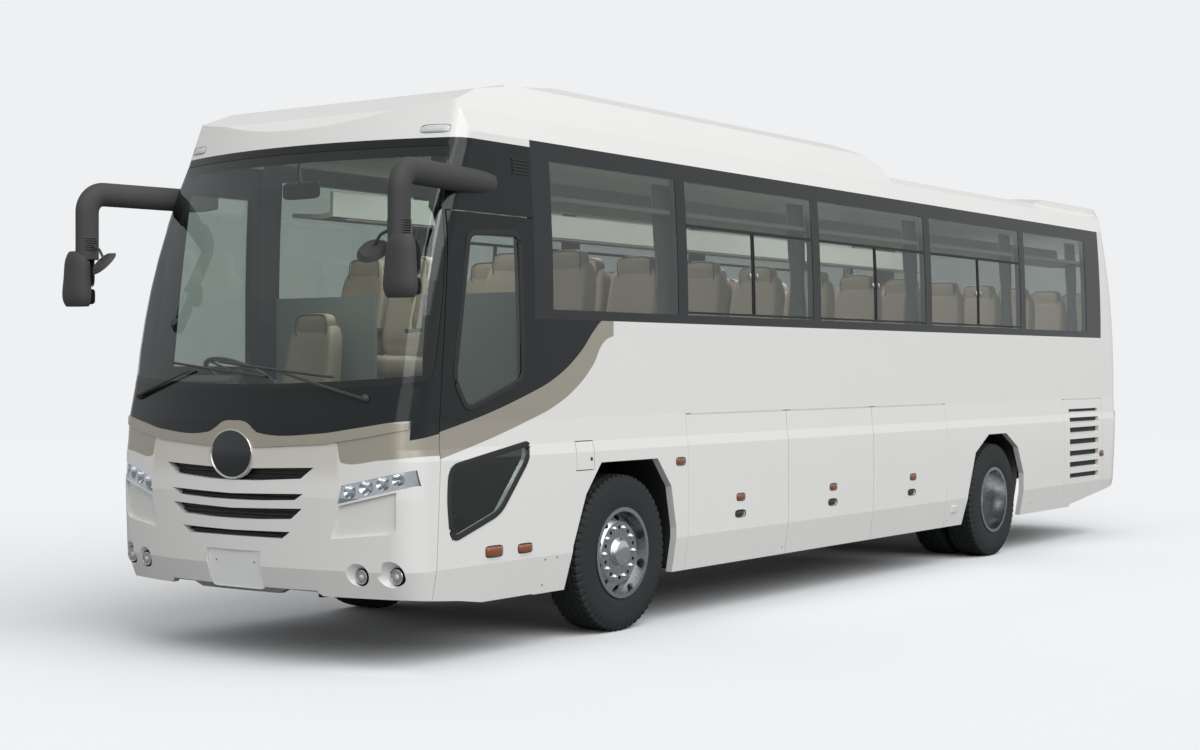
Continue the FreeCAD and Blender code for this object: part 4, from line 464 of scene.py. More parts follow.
@dataclass(frozen=True)
class Lens:
    """Moulded lamp lens with fine ribs and a depth of colour."""

    colour: Colour
    rib: float = 0.006

    def build(self, name: str) -> bpy.types.Material:
        """Builds the lens; the ribs are a folded height."""
        graph = Graph(name)
        x, y, z = graph.place()
        ribs = (x + y).fold(self.rib).ramp(0.0, self.rib / 2) + z.fold(self.rib * 1.5).ramp(0.0, self.rib)
        deep = tuple(c * 0.5 for c in self.colour)
        return graph.close(Base_Color=graph.mix(ribs * 0.4, self.colour, deep),
                           Roughness=graph.noise(60.0) * 0.08 + 0.08,
                           Coat_Weight=0.7, Coat_Roughness=0.03, Normal=graph.bump(ribs, 0.0006))


class Finish(enum.Enum):
    """Every finish on the coach."""

    PAINT = Paint()
    PAINT_SIDE = Paint(Livery.SIDE)
    PAINT_FRONT = Paint(Livery.FRONT)
    PAINT_BUMPER = Paint(Livery.BUMPER)
    BAND_BLACK = Moulding((0.014, 0.017, 0.018), 0.16, 300.0, 0.00001, 0.2)
    BLACK_GLOSS = Moulding((0.012, 0.015, 0.016), 0.18, 300.0, 0.00001, 0.1, 0.5)
    BLACK_PLASTIC = Moulding((0.022, 0.025, 0.027), 0.45)
    CHASSIS = Moulding((0.020, 0.021, 0.022), 0.7, 90.0, 0.0004)
    RUBBER = Moulding((0.014, 0.018, 0.018), 0.78, 240.0, 0.0002, 0.3)
    GASKET = Moulding((0.018, 0.019, 0.020), 0.65)
    MESH = Louvre()
    CHROME = Metal((0.82, 0.83, 0.84), 0.06)
    ALLOY = Metal((0.56, 0.57, 0.58), 0.20)
    STEEL = Metal((0.42, 0.43, 0.43), 0.30)
    GLASS_SCREEN = Glass((0.70, 0.75, 0.725), 0.05, True)
    GLASS_DOOR = Glass((0.70, 0.74, 0.72), 0.06)
    GLASS_SIDE = Glass((0.66, 0.685, 0.67), 0.08)
    GLASS_LAMP = Glass((0.93, 0.95, 0.96), 0.03)
    MIRROR = Metal((0.75, 0.79, 0.80), 0.01)
    PANEL_GREY = Moulding((0.17, 0.19, 0.175), 0.6)
    PANEL_PALE = Moulding((0.33, 0.34, 0.31), 0.6)
    DASH = Moulding((0.085, 0.09, 0.088), 0.6, 500.0, 0.0002)
    LEATHER = Leather((0.345, 0.275, 0.20))
    PIPING = Leather((0.07, 0.045, 0.03), 0.5)
    SEAT_SHELL = Moulding((0.05, 0.05, 0.05), 0.5)
    CURTAIN = Cloth((0.16, 0.185, 0.165))
    FLOOR_VINYL = Moulding((0.10, 0.10, 0.095), 0.6)
    LAMP_RED = Lens((0.34, 0.012, 0.016))
    LAMP_AMBER = Lens((0.30, 0.085, 0.022))
    LAMP_WHITE = Lens((0.80, 0.81, 0.80), 0.01)
    PLATE = Moulding((0.86, 0.87, 0.865), 0.4, 500.0, 0.00004, 0.1)

    def material(self) -> bpy.types.Material:
        """The finish as a material, made once."""
        name = self.name.lower()
        return bpy.data.materials.get(name) or self.value.build(name)


@dataclass
class Bodywork:
    """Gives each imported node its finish."""

    plan: dict[Finish, tuple[str, ...]] = field(default_factory=lambda: {
        Finish.PAINT: ("skirts_rear", "luggage_door", "service_door", "rear_panel", "rear_bumper",
                       "roof_panel", "roof_front", "roof_cowl", "engine_hatch", "filler_flap",
                       "skirts_front"),
        Finish.PAINT_SIDE: ("side_panels", "entrance_door", "cab_frame", "emergency_door"),
        Finish.PAINT_FRONT: ("front_mask",),
        Finish.PAINT_BUMPER: ("front_bumper",),
        Finish.BAND_BLACK: ("window_frames",),
        Finish.GLASS_SCREEN: ("windscreen",),
        Finish.GLASS_DOOR: ("entrance_door_glass",),
        Finish.GLASS_SIDE: ("side_glass", "rear_glass", "emergency_glass"),
        Finish.GLASS_LAMP: ("headlamp_lenses",),
        Finish.BLACK_PLASTIC: ("mirrors", "door_arms", "steering_wheel"),
        Finish.DASH: ("dashboard",),
        Finish.MESH: ("grille",),
        Finish.CHROME: ("headlamps",),
        Finish.RUBBER: ("tyre",),
        Finish.ALLOY: ("rim",),
        Finish.CHASSIS: ("chassis_frame", "cross_members", "front_axle", "rear_axle", "knuckle", "tie_rod",
                         "engine_block", "luggage_bay"),
        Finish.LEATHER: ("passenger_seats", "driver_seat"),
        Finish.PANEL_GREY: ("partitions",),
        Finish.PANEL_PALE: ("parcel_racks",),
        Finish.FLOOR_VINYL: ("cabin_floor", "entrance_steps"),
        Finish.LAMP_RED: ("tail_lamps",),
    })

    def dress(self, nodes: dict[str, bpy.types.Object]) -> None:
        """Assigns the finish whose longest stem starts a node's name.

        Args:
            nodes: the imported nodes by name.
        """
        stems = {stem: finish for finish, names in self.plan.items() for stem in names}
        for name, node in nodes.items():
            stem = max((s for s in stems if name.startswith(s)), key=len)
            node.data.materials.clear()
            node.data.materials.append(stems[stem].material())
            LOG.info("%s takes %s", name, stems[stem].name)


def spline(points: Sequence[Sequence[float]], count: int) -> Array:
    """Smooth line through points.

    Catmull-Rom: each span is the sum of its four nearest points under cubic weights of its share.

    Args:
        points: the points that it passes.
        count: points handed back.

    Returns:
        Points evenly spaced in share.
    """
    knots = np.asarray(points, float)
    padded = np.vstack([2 * knots[0] - knots[1], knots, 2 * knots[-1] - knots[-2]])
    place = np.linspace(0, len(knots) - 1, count)
    span = np.minimum(place.astype(int), len(knots) - 2)
    t = (place - span)[:, None]
    a, b, c, d = (padded[span + step] for step in range(4))
    square, cube = 2 * a - 5 * b + 4 * c - d, 3 * b - a - 3 * c + d
    return 0.5 * (2 * b + (c - a) * t + square * t ** 2 + cube * t ** 3)


def rounded(corners: Array, radius: float, count: int) -> Array:
    """Closed outline with each corner replaced by a parabola between points at one distance from it.

    Args:
        corners: the corners in order.
        radius: distance of the parabola's ends from the corner.
        count: points on each corner.

    Returns:
        Array of points.
    """
    ahead, behind = np.roll(corners, -1, 0) - corners, np.roll(corners, 1, 0) - corners
    fore, aft = (np.linalg.norm(way, axis=1, keepdims=True) for way in (ahead, behind))
    reach = np.minimum(radius, 0.45 * np.minimum(fore, aft))
    start, end = corners + behind / aft * reach, corners + ahead / fore * reach
    t = np.linspace(0, 1, count)[None, :, None]
    curve = (1 - t) ** 2 * start[:, None] + 2 * t * (1 - t) * corners[:, None] + t ** 2 * end[:, None]
    return curve.reshape(-1, corners.shape[1])


def oval(half_u: float, half_v: float, power: float = 2.0, count: int = 40) -> Array:
    """Closed outline where |u / half_u| ** power + |v / half_v| ** power is 1.

    Args:
        half_u: half size along the first axis.
        half_v: half size along the second.
        power: 2 is an ellipse, and more is squarer.
        count: points round it.

    Returns:
        Array of (u, v).
    """
    angle = np.linspace(0, 2 * np.pi, count, endpoint=False)
    c, s = np.cos(angle), np.sin(angle)
    return np.stack([half_u * np.sign(c) * np.abs(c) ** (2 / power),
                     half_v * np.sign(s) * np.abs(s) ** (2 / power)], -1)


def tube(route: Array, half_a: float | Array, half_b: float | Array, count: int = 14,
         power: float = 2.0) -> Array:
    """Ovals carried along a route, square to it: a lies level and b stands across both.

    Args:
        route: points of the middle line.
        half_a: half width, or one for each point.
        half_b: half height, or one for each point.
        count: points round.
        power: squareness of the section.

    Returns:
        Grid of rings.
    """
    ahead = np.gradient(route, axis=0)
    ahead /= np.linalg.norm(ahead, axis=1, keepdims=True)
    up = np.where(np.abs(ahead[:, 2:]) > 0.97, np.array([[1.0, 0.0, 0.0]]), np.array([[0.0, 0.0, 1.0]]))
    side = np.cross(ahead, up)
    side /= np.linalg.norm(side, axis=1, keepdims=True)
    rise = np.cross(side, ahead)
    ring = oval(1.0, 1.0, power, count)
    a, b = (np.broadcast_to(half, len(route))[:, None, None] for half in (half_a, half_b))
    return route[:, None] + side[:, None] * a * ring[None, :, :1] + rise[:, None] * b * ring[None, :, 1:]


def hoop(outline: Array, half_a: float, half_b: float, count: int = 8, power: float = 2.0) -> Array:
    """A tube closed round an outline."""
    return tube(np.vstack([outline, outline[:2]]), half_a, half_b, count, power)


def grown(outline: Array, share: float | Sequence[float]) -> Array:
    """An outline scaled about its middle."""
    return outline.mean(0) + (outline - outline.mean(0)) * np.asarray(share)


def upright(outline: Array, spot: Point) -> Array:
    """A flat outline (across, up) stood square to X with its middle at a spot."""
    return np.stack([np.full(len(outline), spot[0]), outline[:, 0] + spot[1], outline[:, 1] + spot[2]], -1)


def dome(outline: Array, out: Sequence[float], rise: float, power: float = 2.0, rings: int = 7,
         foot: float = 0.0) -> Array:
    """Crowned plate: rings grow from the middle to the outline while the height falls as 1 - share ** power.

    Args:
        outline: closed outline in space.
        out: the way that it faces.
        rise: height of the crown.
        power: squareness of the crown.
        rings: rings over the face.
        foot: depth of its rim behind the outline.

    Returns:
        Grid of rings, closed by its poles.
    """
    middle, way = outline.mean(0), np.asarray(out, float)
    share = np.linspace(0, 1, rings)[:, None, None]
    face = middle + (outline - middle)[None] * share + way * rise * (1 - share ** power)
    back = np.stack([outline - way * foot, np.broadcast_to(middle - way * foot, outline.shape)])
    return np.concatenate([face, back])


def turned(profile: Sequence[Pair], centre: Point, way: float, count: int = 48) -> Array:
    """Profile of (place along Y, radius) turned about a line along Y through the centre.

    Args:
        profile: places outwards and radii.
        centre: the point that they start from.
        way: 1 outwards to the left, -1 to the right.
        count: points round.

    Returns:
        Grid of rings.
    """
    along, radius = np.asarray(profile, float).T
    angle = np.linspace(0, 2 * np.pi, count, endpoint=False)
    ring = np.stack([np.cos(angle), np.zeros(count), np.sin(angle)], -1)
    offset = along[:, None, None] * np.array([0, way, 0.0])
    return np.asarray(centre) + ring[None] * radius[:, None, None] + offset


def pillow(half: Point, power: float = 4.0, rows: int = 14, columns: int = 26) -> Array:
    """Superellipsoid: cosines and sines of latitude and longitude raised to 2 / power.

    Args:
        half: half sizes along X, Y and Z.
        power: 2 is an ellipsoid, and more is squarer.
        rows: rings from pole to pole along Z.
        columns: points round.

    Returns:
        Grid of rings.
    """
    v = np.linspace(-np.pi / 2, np.pi / 2, rows)[:, None]
    u = np.linspace(0, 2 * np.pi, columns, endpoint=False)[None]

    def bent(wave: Array) -> Array:
        """The wave raised to 2 / power, with its sign kept."""
        return np.sign(wave) * np.abs(wave) ** (2 / power)

    flat = bent(np.cos(v))
    return np.stack([half[0] * flat * bent(np.cos(u)), half[1] * flat * bent(np.sin(u)),
                     half[2] * bent(np.sin(v)) * np.ones_like(u)], -1)


class Shell:
    """Gathers grids of points into one piece."""

    def __init__(self, name: str, body: str, *finishes: Finish) -> None:
        """Starts an empty piece that rides on a body."""
        self.name, self.body, self.finishes = name, body, finishes
        self.points: list[Array] = []
        self.faces: list[list[int]] = []
        self.slots: list[int] = []
        self.count = 0

    def add(self, grid: Array, wrap: bool = True, caps: bool = False, slot: int = 0) -> "Shell":
        """Adds one grid of rings.

        Args:
            grid: array of rings, points and coordinates.
            wrap: joins each ring's end to its start.
            caps: closes the first and the last ring.
            slot: which of the finishes it takes.

        Returns:
            The piece, for the next call.
        """
        rows, columns = grid.shape[:2]
        row = np.arange(rows - 1)[:, None] * columns
        column = np.arange(columns if wrap else columns - 1)[None]
        after = (column + 1) % columns
        quads = np.stack([row + column, row + after, row + after + columns, row + column + columns], -1)
        faces = (quads.reshape(-1, 4) + self.count).tolist()
        if caps:
            first = np.arange(columns) + self.count
            faces += [first[::-1].tolist(), (first + (rows - 1) * columns).tolist()]
        self.points.append(grid.reshape(-1, 3))
        self.faces += faces
        self.slots += [slot] * len(faces)
        self.count += rows * columns
        return self

    def pair(self, grid: Array, **ways: bool | int) -> "Shell":
        """Adds a grid and its mirror image over the centre plane."""
        return self.add(grid, **ways).add(grid * np.array([1.0, -1.0, 1.0]), **ways)

    def place(self, crease_deg: float = 38.0, stands_for: str = "") -> bpy.types.Object:
        """Makes the object.

        Args:
            crease_deg: edges sharper than this stay sharp.
            stands_for: CAD node that it replaces.

        Returns:
            The object at the origin, its place in its mesh.
        """
        mesh = bpy.data.meshes.new(self.name)
        mesh.from_pydata(np.concatenate(self.points).tolist(), [], self.faces)
        for finish in self.finishes:
            mesh.materials.append(finish.material())
        mesh.polygons.foreach_set("material_index", np.array(self.slots, dtype=np.int32))
        work = bmesh.new()
        work.from_mesh(mesh)
        bmesh.ops.remove_doubles(work, verts=work.verts, dist=1e-6)
        bmesh.ops.recalc_face_normals(work, faces=work.faces)
        work.to_mesh(mesh)
        work.free()
        mesh.shade_smooth()
        mesh.set_sharp_from_angle(angle=math.radians(crease_deg))
        made = bpy.data.objects.new(self.name, mesh)
        bpy.context.scene.collection.objects.link(made)
        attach(made, self.body)
        if stands_for:
            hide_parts(stands_for)
        LOG.info("%s: %d faces on %s", self.name, len(mesh.polygons), self.body)
        return made


@dataclass(frozen=True)
class Nose:
    """The skin of the front end: a wide arc about the centre plane with a smaller arc at each corner."""

    wide: float = 3.75
    axis: float = FRONT_X - 3.75
    levels: tuple[float, ...] = (SKIRT_Z, 0.58, 1.0, WAIST_Z, SCREEN_Z)
    insets: tuple[float, ...] = (0.085, 0.012, 0.0, 0.024, 0.07)
    folds: tuple[float, ...] = (SKIRT_Z, 0.58, 1.212, 1.28, WAIST_Z)
    halves: tuple[float, ...] = (1.207, 1.245, 1.245, 1.232, 1.225)
    lean: Pair = (0.047, 1.109)
    screen_rise: float = 1.436
    height: float = 3.455

    def half(self, z: Array) -> Array:
        """Half width of the side: folds below the waist and one large arc above."""
        depth, rise = self.lean
        radius = (rise ** 2 + depth ** 2) / (2 * depth)
        up = np.clip(z - BAND_LOW_Z, 0, None)
        bow = self.halves[-1] - radius + np.sqrt(radius ** 2 - up ** 2)
        return np.where(z > WAIST_Z, bow, np.interp(z, self.folds, self.halves))

    def skin(self, y: Array, z: Array, out: float = 0.0) -> Array:
        """Points of the skin.

        The centre line is set back by a piecewise line below the windscreen, and on it by a straight rake
        less a parabola; x is the wide arc's up to the corner, then the corner arc's.

        Args:
            y: distances to the left.
            z: heights.
            out: distance proud of the skin.

        Returns:
            Array of points.
        """
        y, z = np.broadcast_arrays(np.asarray(y, float), np.asarray(z, float))
        share = np.clip((z - SCREEN_Z) / self.screen_rise, 0, None)
        bulge = 0.24 * share * (1 - share)
        rake = 0.07 + 0.42 * share - np.maximum(bulge, bulge / 4)
        setback = np.where(z > SCREEN_Z, rake, np.interp(z, self.levels, self.insets))
        small = 0.21 - 0.09 * (z - SKIRT_Z) / self.height + out
        big = FRONT_X - setback - self.axis + out
        y_mid = self.half(z) + out - small
        x_mid = self.axis + np.sqrt((big - small) ** 2 - y_mid ** 2)
        y_join = y_mid / np.hypot(x_mid - self.axis, y_mid) * big
        face = self.axis + np.sqrt(big ** 2 - np.minimum(np.abs(y), y_join) ** 2)
        corner = x_mid + np.sqrt(np.clip(small ** 2 - np.clip(np.abs(y) - y_mid, 0, None) ** 2, 0, None))
        return np.stack([np.where(np.abs(y) <= y_join, face, corner), y, z], -1)


NOSE = Nose()


def side_skin(x: Array, z: Array, out: float = 0.0) -> Array:
    """Points of the left side between the ends, at a distance proud of the skin."""
    x, z = np.broadcast_arrays(np.asarray(x, float), np.asarray(z, float))
    return np.stack([x, NOSE.half(z) + out, z], -1)


@dataclass
class Tyres:
    """Treaded tyres in the form of the CAD ones."""

    width: float = 0.288
    bead: float = 0.292
    pitches: int = 60
    steps: int = 6
    groove: float = 0.012
    groove_lines: tuple[float, ...] = (-0.078, -0.027, 0.027, 0.078)

    def tread(self, centre: Point) -> Array:
        """One tyre.

        A closed section of (across, radius) turned about the axle; the crown drops by the groove depth in
        four wavy grooves round it and in a notch over each shoulder at every pitch.

        Args:
            centre: its middle.

        Returns:
            Grid of rings.
        """
        half = self.width / 2
        outer = spline([(-half + 0.014, self.bead), (-half + 0.001, 0.345), (-half, 0.405),
                        (-half + 0.004, 0.465), (-half + 0.017, 0.506)], 9)
        crown = np.stack([np.linspace(-half + 0.022, half - 0.022, 33), np.full(33, TYRE_R)], -1)
        crown[:, 1] -= 0.006 * (np.abs(crown[:, 0]) / (half - 0.022)) ** 6
        inner = [(half - 0.03, 0.2905), (-half + 0.03, 0.2905)]
        section = np.vstack([outer, crown, outer[::-1] * np.array([-1.0, 1.0]), inner])
        count = self.pitches * self.steps
        turn = np.arange(count)[:, None]
        across, radius = section[None, :, 0], section[None, :, 1] * np.ones((count, 1))
        wave = 0.003 * np.sign(np.sin(turn / self.steps * 2 * np.pi + 0.3))
        rings = sum((np.abs(across - y - wave) < 0.0056).astype(float) for y in self.groove_lines)
        notch = (turn % self.steps < 2) & (np.abs(across) > 0.094) & (radius > 0.47)
        sipe = (turn % self.steps == 4) & (np.abs(across) < 0.094) & (radius > 0.51)
        depth = np.maximum(np.clip(rings, 0, 1) * (radius > 0.51), notch * 0.9)
        radius = radius - self.groove * np.maximum(depth, sipe * 0.35)
        angle = turn * 2 * np.pi / count
        y = across * np.ones_like(turn) * np.where(notch, 0.985, 1.0)
        return np.asarray(centre) + np.stack([radius * np.cos(angle), y, radius * np.sin(angle)], -1)

    def build(self) -> None:
        """Makes the six tyres on their four wheels."""
        for word, side in SIDES:
            for end, x, middles in (("front", AXLE_F, (WHEEL_Y,)),
                                    ("rear", AXLE_R, (WHEEL_Y, WHEEL_Y - TWIN_GAP))):
                shell = Shell(f"tread_{end}_{word}", f"wheel_{end}_{word}", Finish.RUBBER)
                for middle in middles:
                    rings = self.tread((x, middle * side, TYRE_R))
                    shell.add(np.concatenate([rings, rings[:1]]))
                shell.place(30.0, f"tyre_{end}_{word}")


@dataclass
class WheelNuts:
    """Nuts, hub dome and valve of each visible wheel."""

    ring: float = 0.1675
    count: int = 10
    cap_radius: float = 0.0816
    nut: tuple[Pair, ...] = (
        (-0.004, 0.0), (-0.004, 0.023), (0.004, 0.023), (0.006, 0.018), (0.022, 0.0175), (0.026, 0.014),
        (0.026, 0.009), (0.036, 0.008), (0.038, 0.0))
    valve: tuple[Point, ...] = ((0.21, -0.03, 0.10), (0.20, -0.005, 0.095), (0.185, 0.004, 0.088))

    def build(self) -> None:
        """Makes one piece a wheel.

        A nut with its washer is one profile turned on its stud, and ten stand evenly on the ring; the dome
        is a quarter ellipse turned about the axle.
        """
        for word, side in SIDES:
            for end, x, face, tip in (("front", AXLE_F, 0.096, 0.138), ("rear", AXLE_R, -0.1515, -0.04)):
                shell = Shell(f"nuts_{end}_{word}", f"wheel_{end}_{word}", Finish.CHROME, Finish.STEEL)
                outer = WHEEL_Y + face
                for angle in np.arange(self.count) * 2 * np.pi / self.count:
                    along, up = self.ring * math.cos(angle), self.ring * math.sin(angle)
                    shell.add(turned(self.nut, (x + along, outer * side, TYRE_R + up), side, 12))
                bow = np.linspace(0, np.pi / 2, 9)
                cap = np.stack([tip + 0.011 * np.sin(bow), self.cap_radius * np.cos(bow)], -1)
                foot = [(tip - 0.004, 0.0), (tip - 0.004, self.cap_radius)]
                shell.add(turned([*foot, *cap.tolist()], (x, WHEEL_Y * side, TYRE_R), side))
                valve = spline([(x + u, (outer + v) * side, TYRE_R + w) for u, v, w in self.valve], 6)
                shell.add(tube(valve, 0.0045, 0.0045, 8), caps=True, slot=1).place()


@dataclass
class Seats:
    """Pairs of reclined seats with quilted backs, side bolsters, piped head rests and arm rests."""

    first: float = AXLE_F + 0.28
    pitch: float = 0.83
    rows: dict[int, tuple[int, ...]] = field(default_factory=lambda: {
        1: tuple(range(12)), -1: (0, 1, 2, 3, 4, 5, 6, 7, 8, 11)})
    middles: Pair = (0.432, 0.888)
    arms: Pair = (0.235, 0.655)
    legs: Pair = (0.30, 1.02)
    pad_seams: tuple[float, ...] = (-0.12, 0.0, 0.12)
    back_seams: tuple[float, ...] = (-0.22, -0.12, -0.02, 0.08, 0.18)
    driver_spot: Point = (AXLE_F + 1.16, -0.56, 0.96)

    def cushion(self) -> Array:
        """A crowned pad: a pillow with three cross channels, higher at its front and sides."""
        pad = pillow((0.255, 0.216, 0.078), 4.5, 12, 30)
        x, y, z = np.moveaxis(pad, -1, 0)
        top = np.clip(z / 0.078, 0, 1)
        z = z + top * (0.012 * (y / 0.216) ** 4 + 0.012 * np.clip(x / 0.255, 0, 1) ** 2)
        z = z - top * 0.010 * sum(np.exp(-((x - seam) / 0.012) ** 2) for seam in self.pad_seams)
        return np.stack([x + 0.235, y, z + 0.376], -1)

    def back(self) -> Array:
        """A leaning pad: a tall pillow sheared back, with bolsters at its sides and level quilting."""
        pad = pillow((0.066, 0.217, 0.335), 5.0, 30, 26)
        x, y, z = np.moveaxis(pad, -1, 0)
        face = np.clip(x / 0.066, 0, 1)
        side = np.clip(np.abs(y) / 0.217, 0, 1)
        x = x + face * (0.035 * side ** 3 - 0.012 * (1 - side ** 2))
        x = x - face * 0.008 * sum(np.exp(-((z - seam) / 0.010) ** 2) for seam in self.back_seams)
        x = x + 0.024 * np.exp(-((z + 0.15) / 0.12) ** 2) * face
        narrow = 1 - 0.10 * np.clip(z / 0.335, 0, 1)
        return np.stack([x - 0.035 - (z + 0.05) * 0.15, y * narrow, z + 0.755], -1)

    def rest(self) -> Array:
        """A head rest: a pillow with wings that come forward at its sides."""
        pad = pillow((0.048, 0.150, 0.090), 4.0, 12, 26)
        x, y, z = np.moveaxis(pad, -1, 0)
        x = x + np.clip(x / 0.048, 0, 1) * 0.030 * np.abs(y / 0.15) ** 3
        return np.stack([x - 0.080, y, z + 1.065], -1)

    def piping(self) -> Array:
        """A cord round the head rest's face: an oval route in the face's plane."""
        ring = oval(0.140, 0.082, 4.0, 28)
        route = upright(ring, (-0.040, 0.0, 1.065))
        route[:, 0] += 0.024 * np.abs(ring[:, 0] / 0.14) ** 3
        return hoop(route, 0.0045, 0.0045, 6)

    def arm(self) -> Array:
        """An arm rest: an oval bar along a short curve."""
        bends = [(-0.06, 0.0, 0.62), (0.06, 0.0, 0.635), (0.20, 0.0, 0.630), (0.265, 0.0, 0.622)]
        return tube(spline(bends, 9), 0.022, 0.017, 10, 3.0)

    def build(self) -> None:
        """Places the pads of every pair as one padded piece over the CAD seats, and the driver's seat too."""
        parts = [(self.cushion(), 0), (self.back(), 0), (self.rest(), 0), (self.piping(), 1)]
        shell = Shell("saloon_seats", "coach_body", Finish.LEATHER, Finish.PIPING, Finish.SEAT_SHELL)
        route = spline([(0.245, 0.0, 0.0), (0.245, 0.0, 0.15), (0.235, 0.0, 0.32)], 4)
        foot = tube(route, 0.028, 0.06, 10, 4.0)
        for side, rows in self.rows.items():
            for row in rows:
                spot = np.array([self.first - self.pitch * row, 0.0, FLOOR_Z])
                for middle in self.middles:
                    for grid, slot in parts:
                        shell.add(grid + spot + np.array([0.0, middle * side, 0.0]), slot=slot)
                for y in self.arms:
                    shell.add(self.arm() + spot + np.array([0.0, y * side, 0.0]), caps=True, slot=2)
                for y in self.legs:
                    shell.add(foot + spot + np.array([0.0, y * side, 0.0]), caps=True, slot=2)
        shell.place(45.0, "passenger_seats")
        driver = Shell("driver_pads", "coach_body", Finish.LEATHER, Finish.PIPING, Finish.SEAT_SHELL)
        spot = np.array(self.driver_spot)
        for grid, slot in parts:
            driver.add(grid + spot, slot=slot)
        post = tube(spline([(0.235, 0.0, 0.0), (0.245, 0.0, 0.15), (0.235, 0.0, 0.32)], 7),
                    np.array([0.12, 0.12, 0.10, 0.08, 0.08, 0.10, 0.14]),
                    np.array([0.16, 0.16, 0.12, 0.09, 0.09, 0.12, 0.18]), 16, 3.0)
        driver.add(post + spot, caps=True, slot=2).place(45.0, "driver_seat")


@dataclass
class Curtains:
    """Pleated curtains drawn back at the pillars."""

    places: tuple[float, ...] = (2.90, 1.02, -0.98, -3.04, -4.72)
    width: float = 0.24
    pleats: int = 7
    top: float = 3.02
    foot: float = 2.10
    fold: float = 0.016

    def hang(self, x: float, side: int) -> tuple[Array, float]:
        """One curtain.

        Pleats: the distance from the wall is a sine of the width, shallower at the tied top; the width
        draws in towards a tie at two thirds of the drop.

        Args:
            x: its middle.
            side: 1 left, -1 right.

        Returns:
            The grid and the width of the cloth when flat.
        """
        u, v = np.meshgrid(np.linspace(-0.5, 0.5, 113), np.linspace(0, 1, 40))
        wave = np.sin(u * self.pleats * 2 * np.pi + 0.5 * np.sin(3 * v))
        draw = 1 - 0.28 * np.exp(-((v - 0.66) / 0.16) ** 2)
        z = self.top - (self.top - self.foot) * v
        y = NOSE.half(z) - 0.115 - self.fold * (0.75 + 0.35 * v) * (1 + wave)
        grid = np.stack([x + u * self.width * draw, y * side, z], -1)
        flat = np.linalg.norm(np.diff(grid, axis=1), axis=-1).sum(1).mean()
        return grid, float(flat)

    def build(self) -> None:
        """Hangs every curtain; the width of its cloth when flat is worked out but not used."""
        for word, side in SIDES:
            for count, x in enumerate(self.places, 1):
                grid, flat = self.hang(x, side)
                shell = Shell(f"curtain_{count}_{word}", "coach_body", Finish.CURTAIN)
                piece = shell.add(grid, wrap=False).place(60.0)
                wall = piece.modifiers.new("hem", "SOLIDIFY")
                wall.thickness = 0.0012


@dataclass(frozen=True)
class Boss:
    """A crowned oval plate seated on the coach's side."""

    half: Pair
    power: float
    count: int
    lift: float
    rise: float
    crown: float
    rings: int
    foot: float

    def seat(self, shell: Shell, x: float, z: float, side: int, slot: int = 0) -> Array:
        """Adds the plate to a piece.

        Args:
            shell: the piece.
            x: frame X of its middle.
            z: height of its middle.
            side: 1 left, -1 right.
            slot: which of the piece's finishes it takes.

        Returns:
            The outline that it stands on.
        """
        ring = oval(*self.half, self.power, self.count)
        base = side_skin(ring[:, 0] + x, ring[:, 1] + z, self.lift) * np.array([1.0, side, 1.0])
        shell.add(dome(base, (0.0, side, 0.0), self.rise, self.crown, self.rings, self.foot), slot=slot)
        return base


@dataclass
class FrontLamps:
    """Bulb domes and rings in the headlamps, fog lamps in the bumper and marker lamps on the roof's front."""

    bowls: tuple[Point, ...] = (
        (0.858, 1.040, 0.040), (0.962, 1.066, 0.044), (1.062, 1.090, 0.040), (1.150, 1.112, 0.034))
    fogs: tuple[tuple[float, float, float, float], ...] = (
        (5.797, 0.912, 0.548, 0.044), (5.730, 1.122, 0.556, 0.047))
    bulb_set: float = 0.062
    marker: Point = (5.254377, 1.013, 3.175)
    marker_slopes: Pair = (0.345, 0.378)

    def build(self) -> None:
        """Makes the lamps as domes over round outlines that face forward."""
        ahead = (1.0, 0.0, 0.0)
        bulbs = Shell("headlamp_bulbs", "coach_body", Finish.GLASS_LAMP, Finish.CHROME, Finish.LAMP_WHITE)
        for y, z, radius in self.bowls:
            spot = (float(NOSE.skin(y, z)[0]) - self.bulb_set, y, z)
            ring = oval(radius * 0.5, radius * 0.5, 2.0, 24)
            bulbs.pair(dome(upright(ring, spot), ahead, radius * 0.35, 2.0, 6, 0.01), slot=2)
            bulbs.pair(hoop(upright(ring * 1.1, spot), 0.0025, 0.0025), slot=1)
        bulbs.place()
        fogs = Shell("fog_lamps", "coach_body", Finish.LAMP_WHITE, Finish.CHROME, Finish.GLASS_LAMP)
        for x, y, z, radius in self.fogs:
            ring = oval(radius * 0.86, radius * 0.86, 2.0, 32)
            disc = upright(ring, (x, y, z))
            fogs.pair(dome(disc, ahead, 0.012, 2.0, 7, 0.008), slot=2)
            fogs.pair(dome(grown(disc, 0.45), ahead, 0.010, 2.0, 6, 0.002))
            fogs.pair(dome(upright(ring * 0.97, (x - 0.0004, y, z)), ahead, -0.006, 2.0, 7, -0.001), slot=1)
            fogs.pair(hoop(upright(ring * 1.04, (x, y, z)), 0.003, 0.003), slot=1)
        fogs.place()
        marks = Shell("marker_lamps", "coach_body", Finish.LAMP_WHITE, Finish.STEEL)
        ring = oval(0.085, 0.024, 4.0, 36)
        face = upright(ring, self.marker)
        face[:, 0] -= ring @ np.array(self.marker_slopes)
        marks.pair(dome(face, (0.89, 0.306, 0.337), 0.010, 4.0, 7, 0.010))
        marks.pair(hoop(grown(face, 1.06), 0.003, 0.003), slot=1).place()


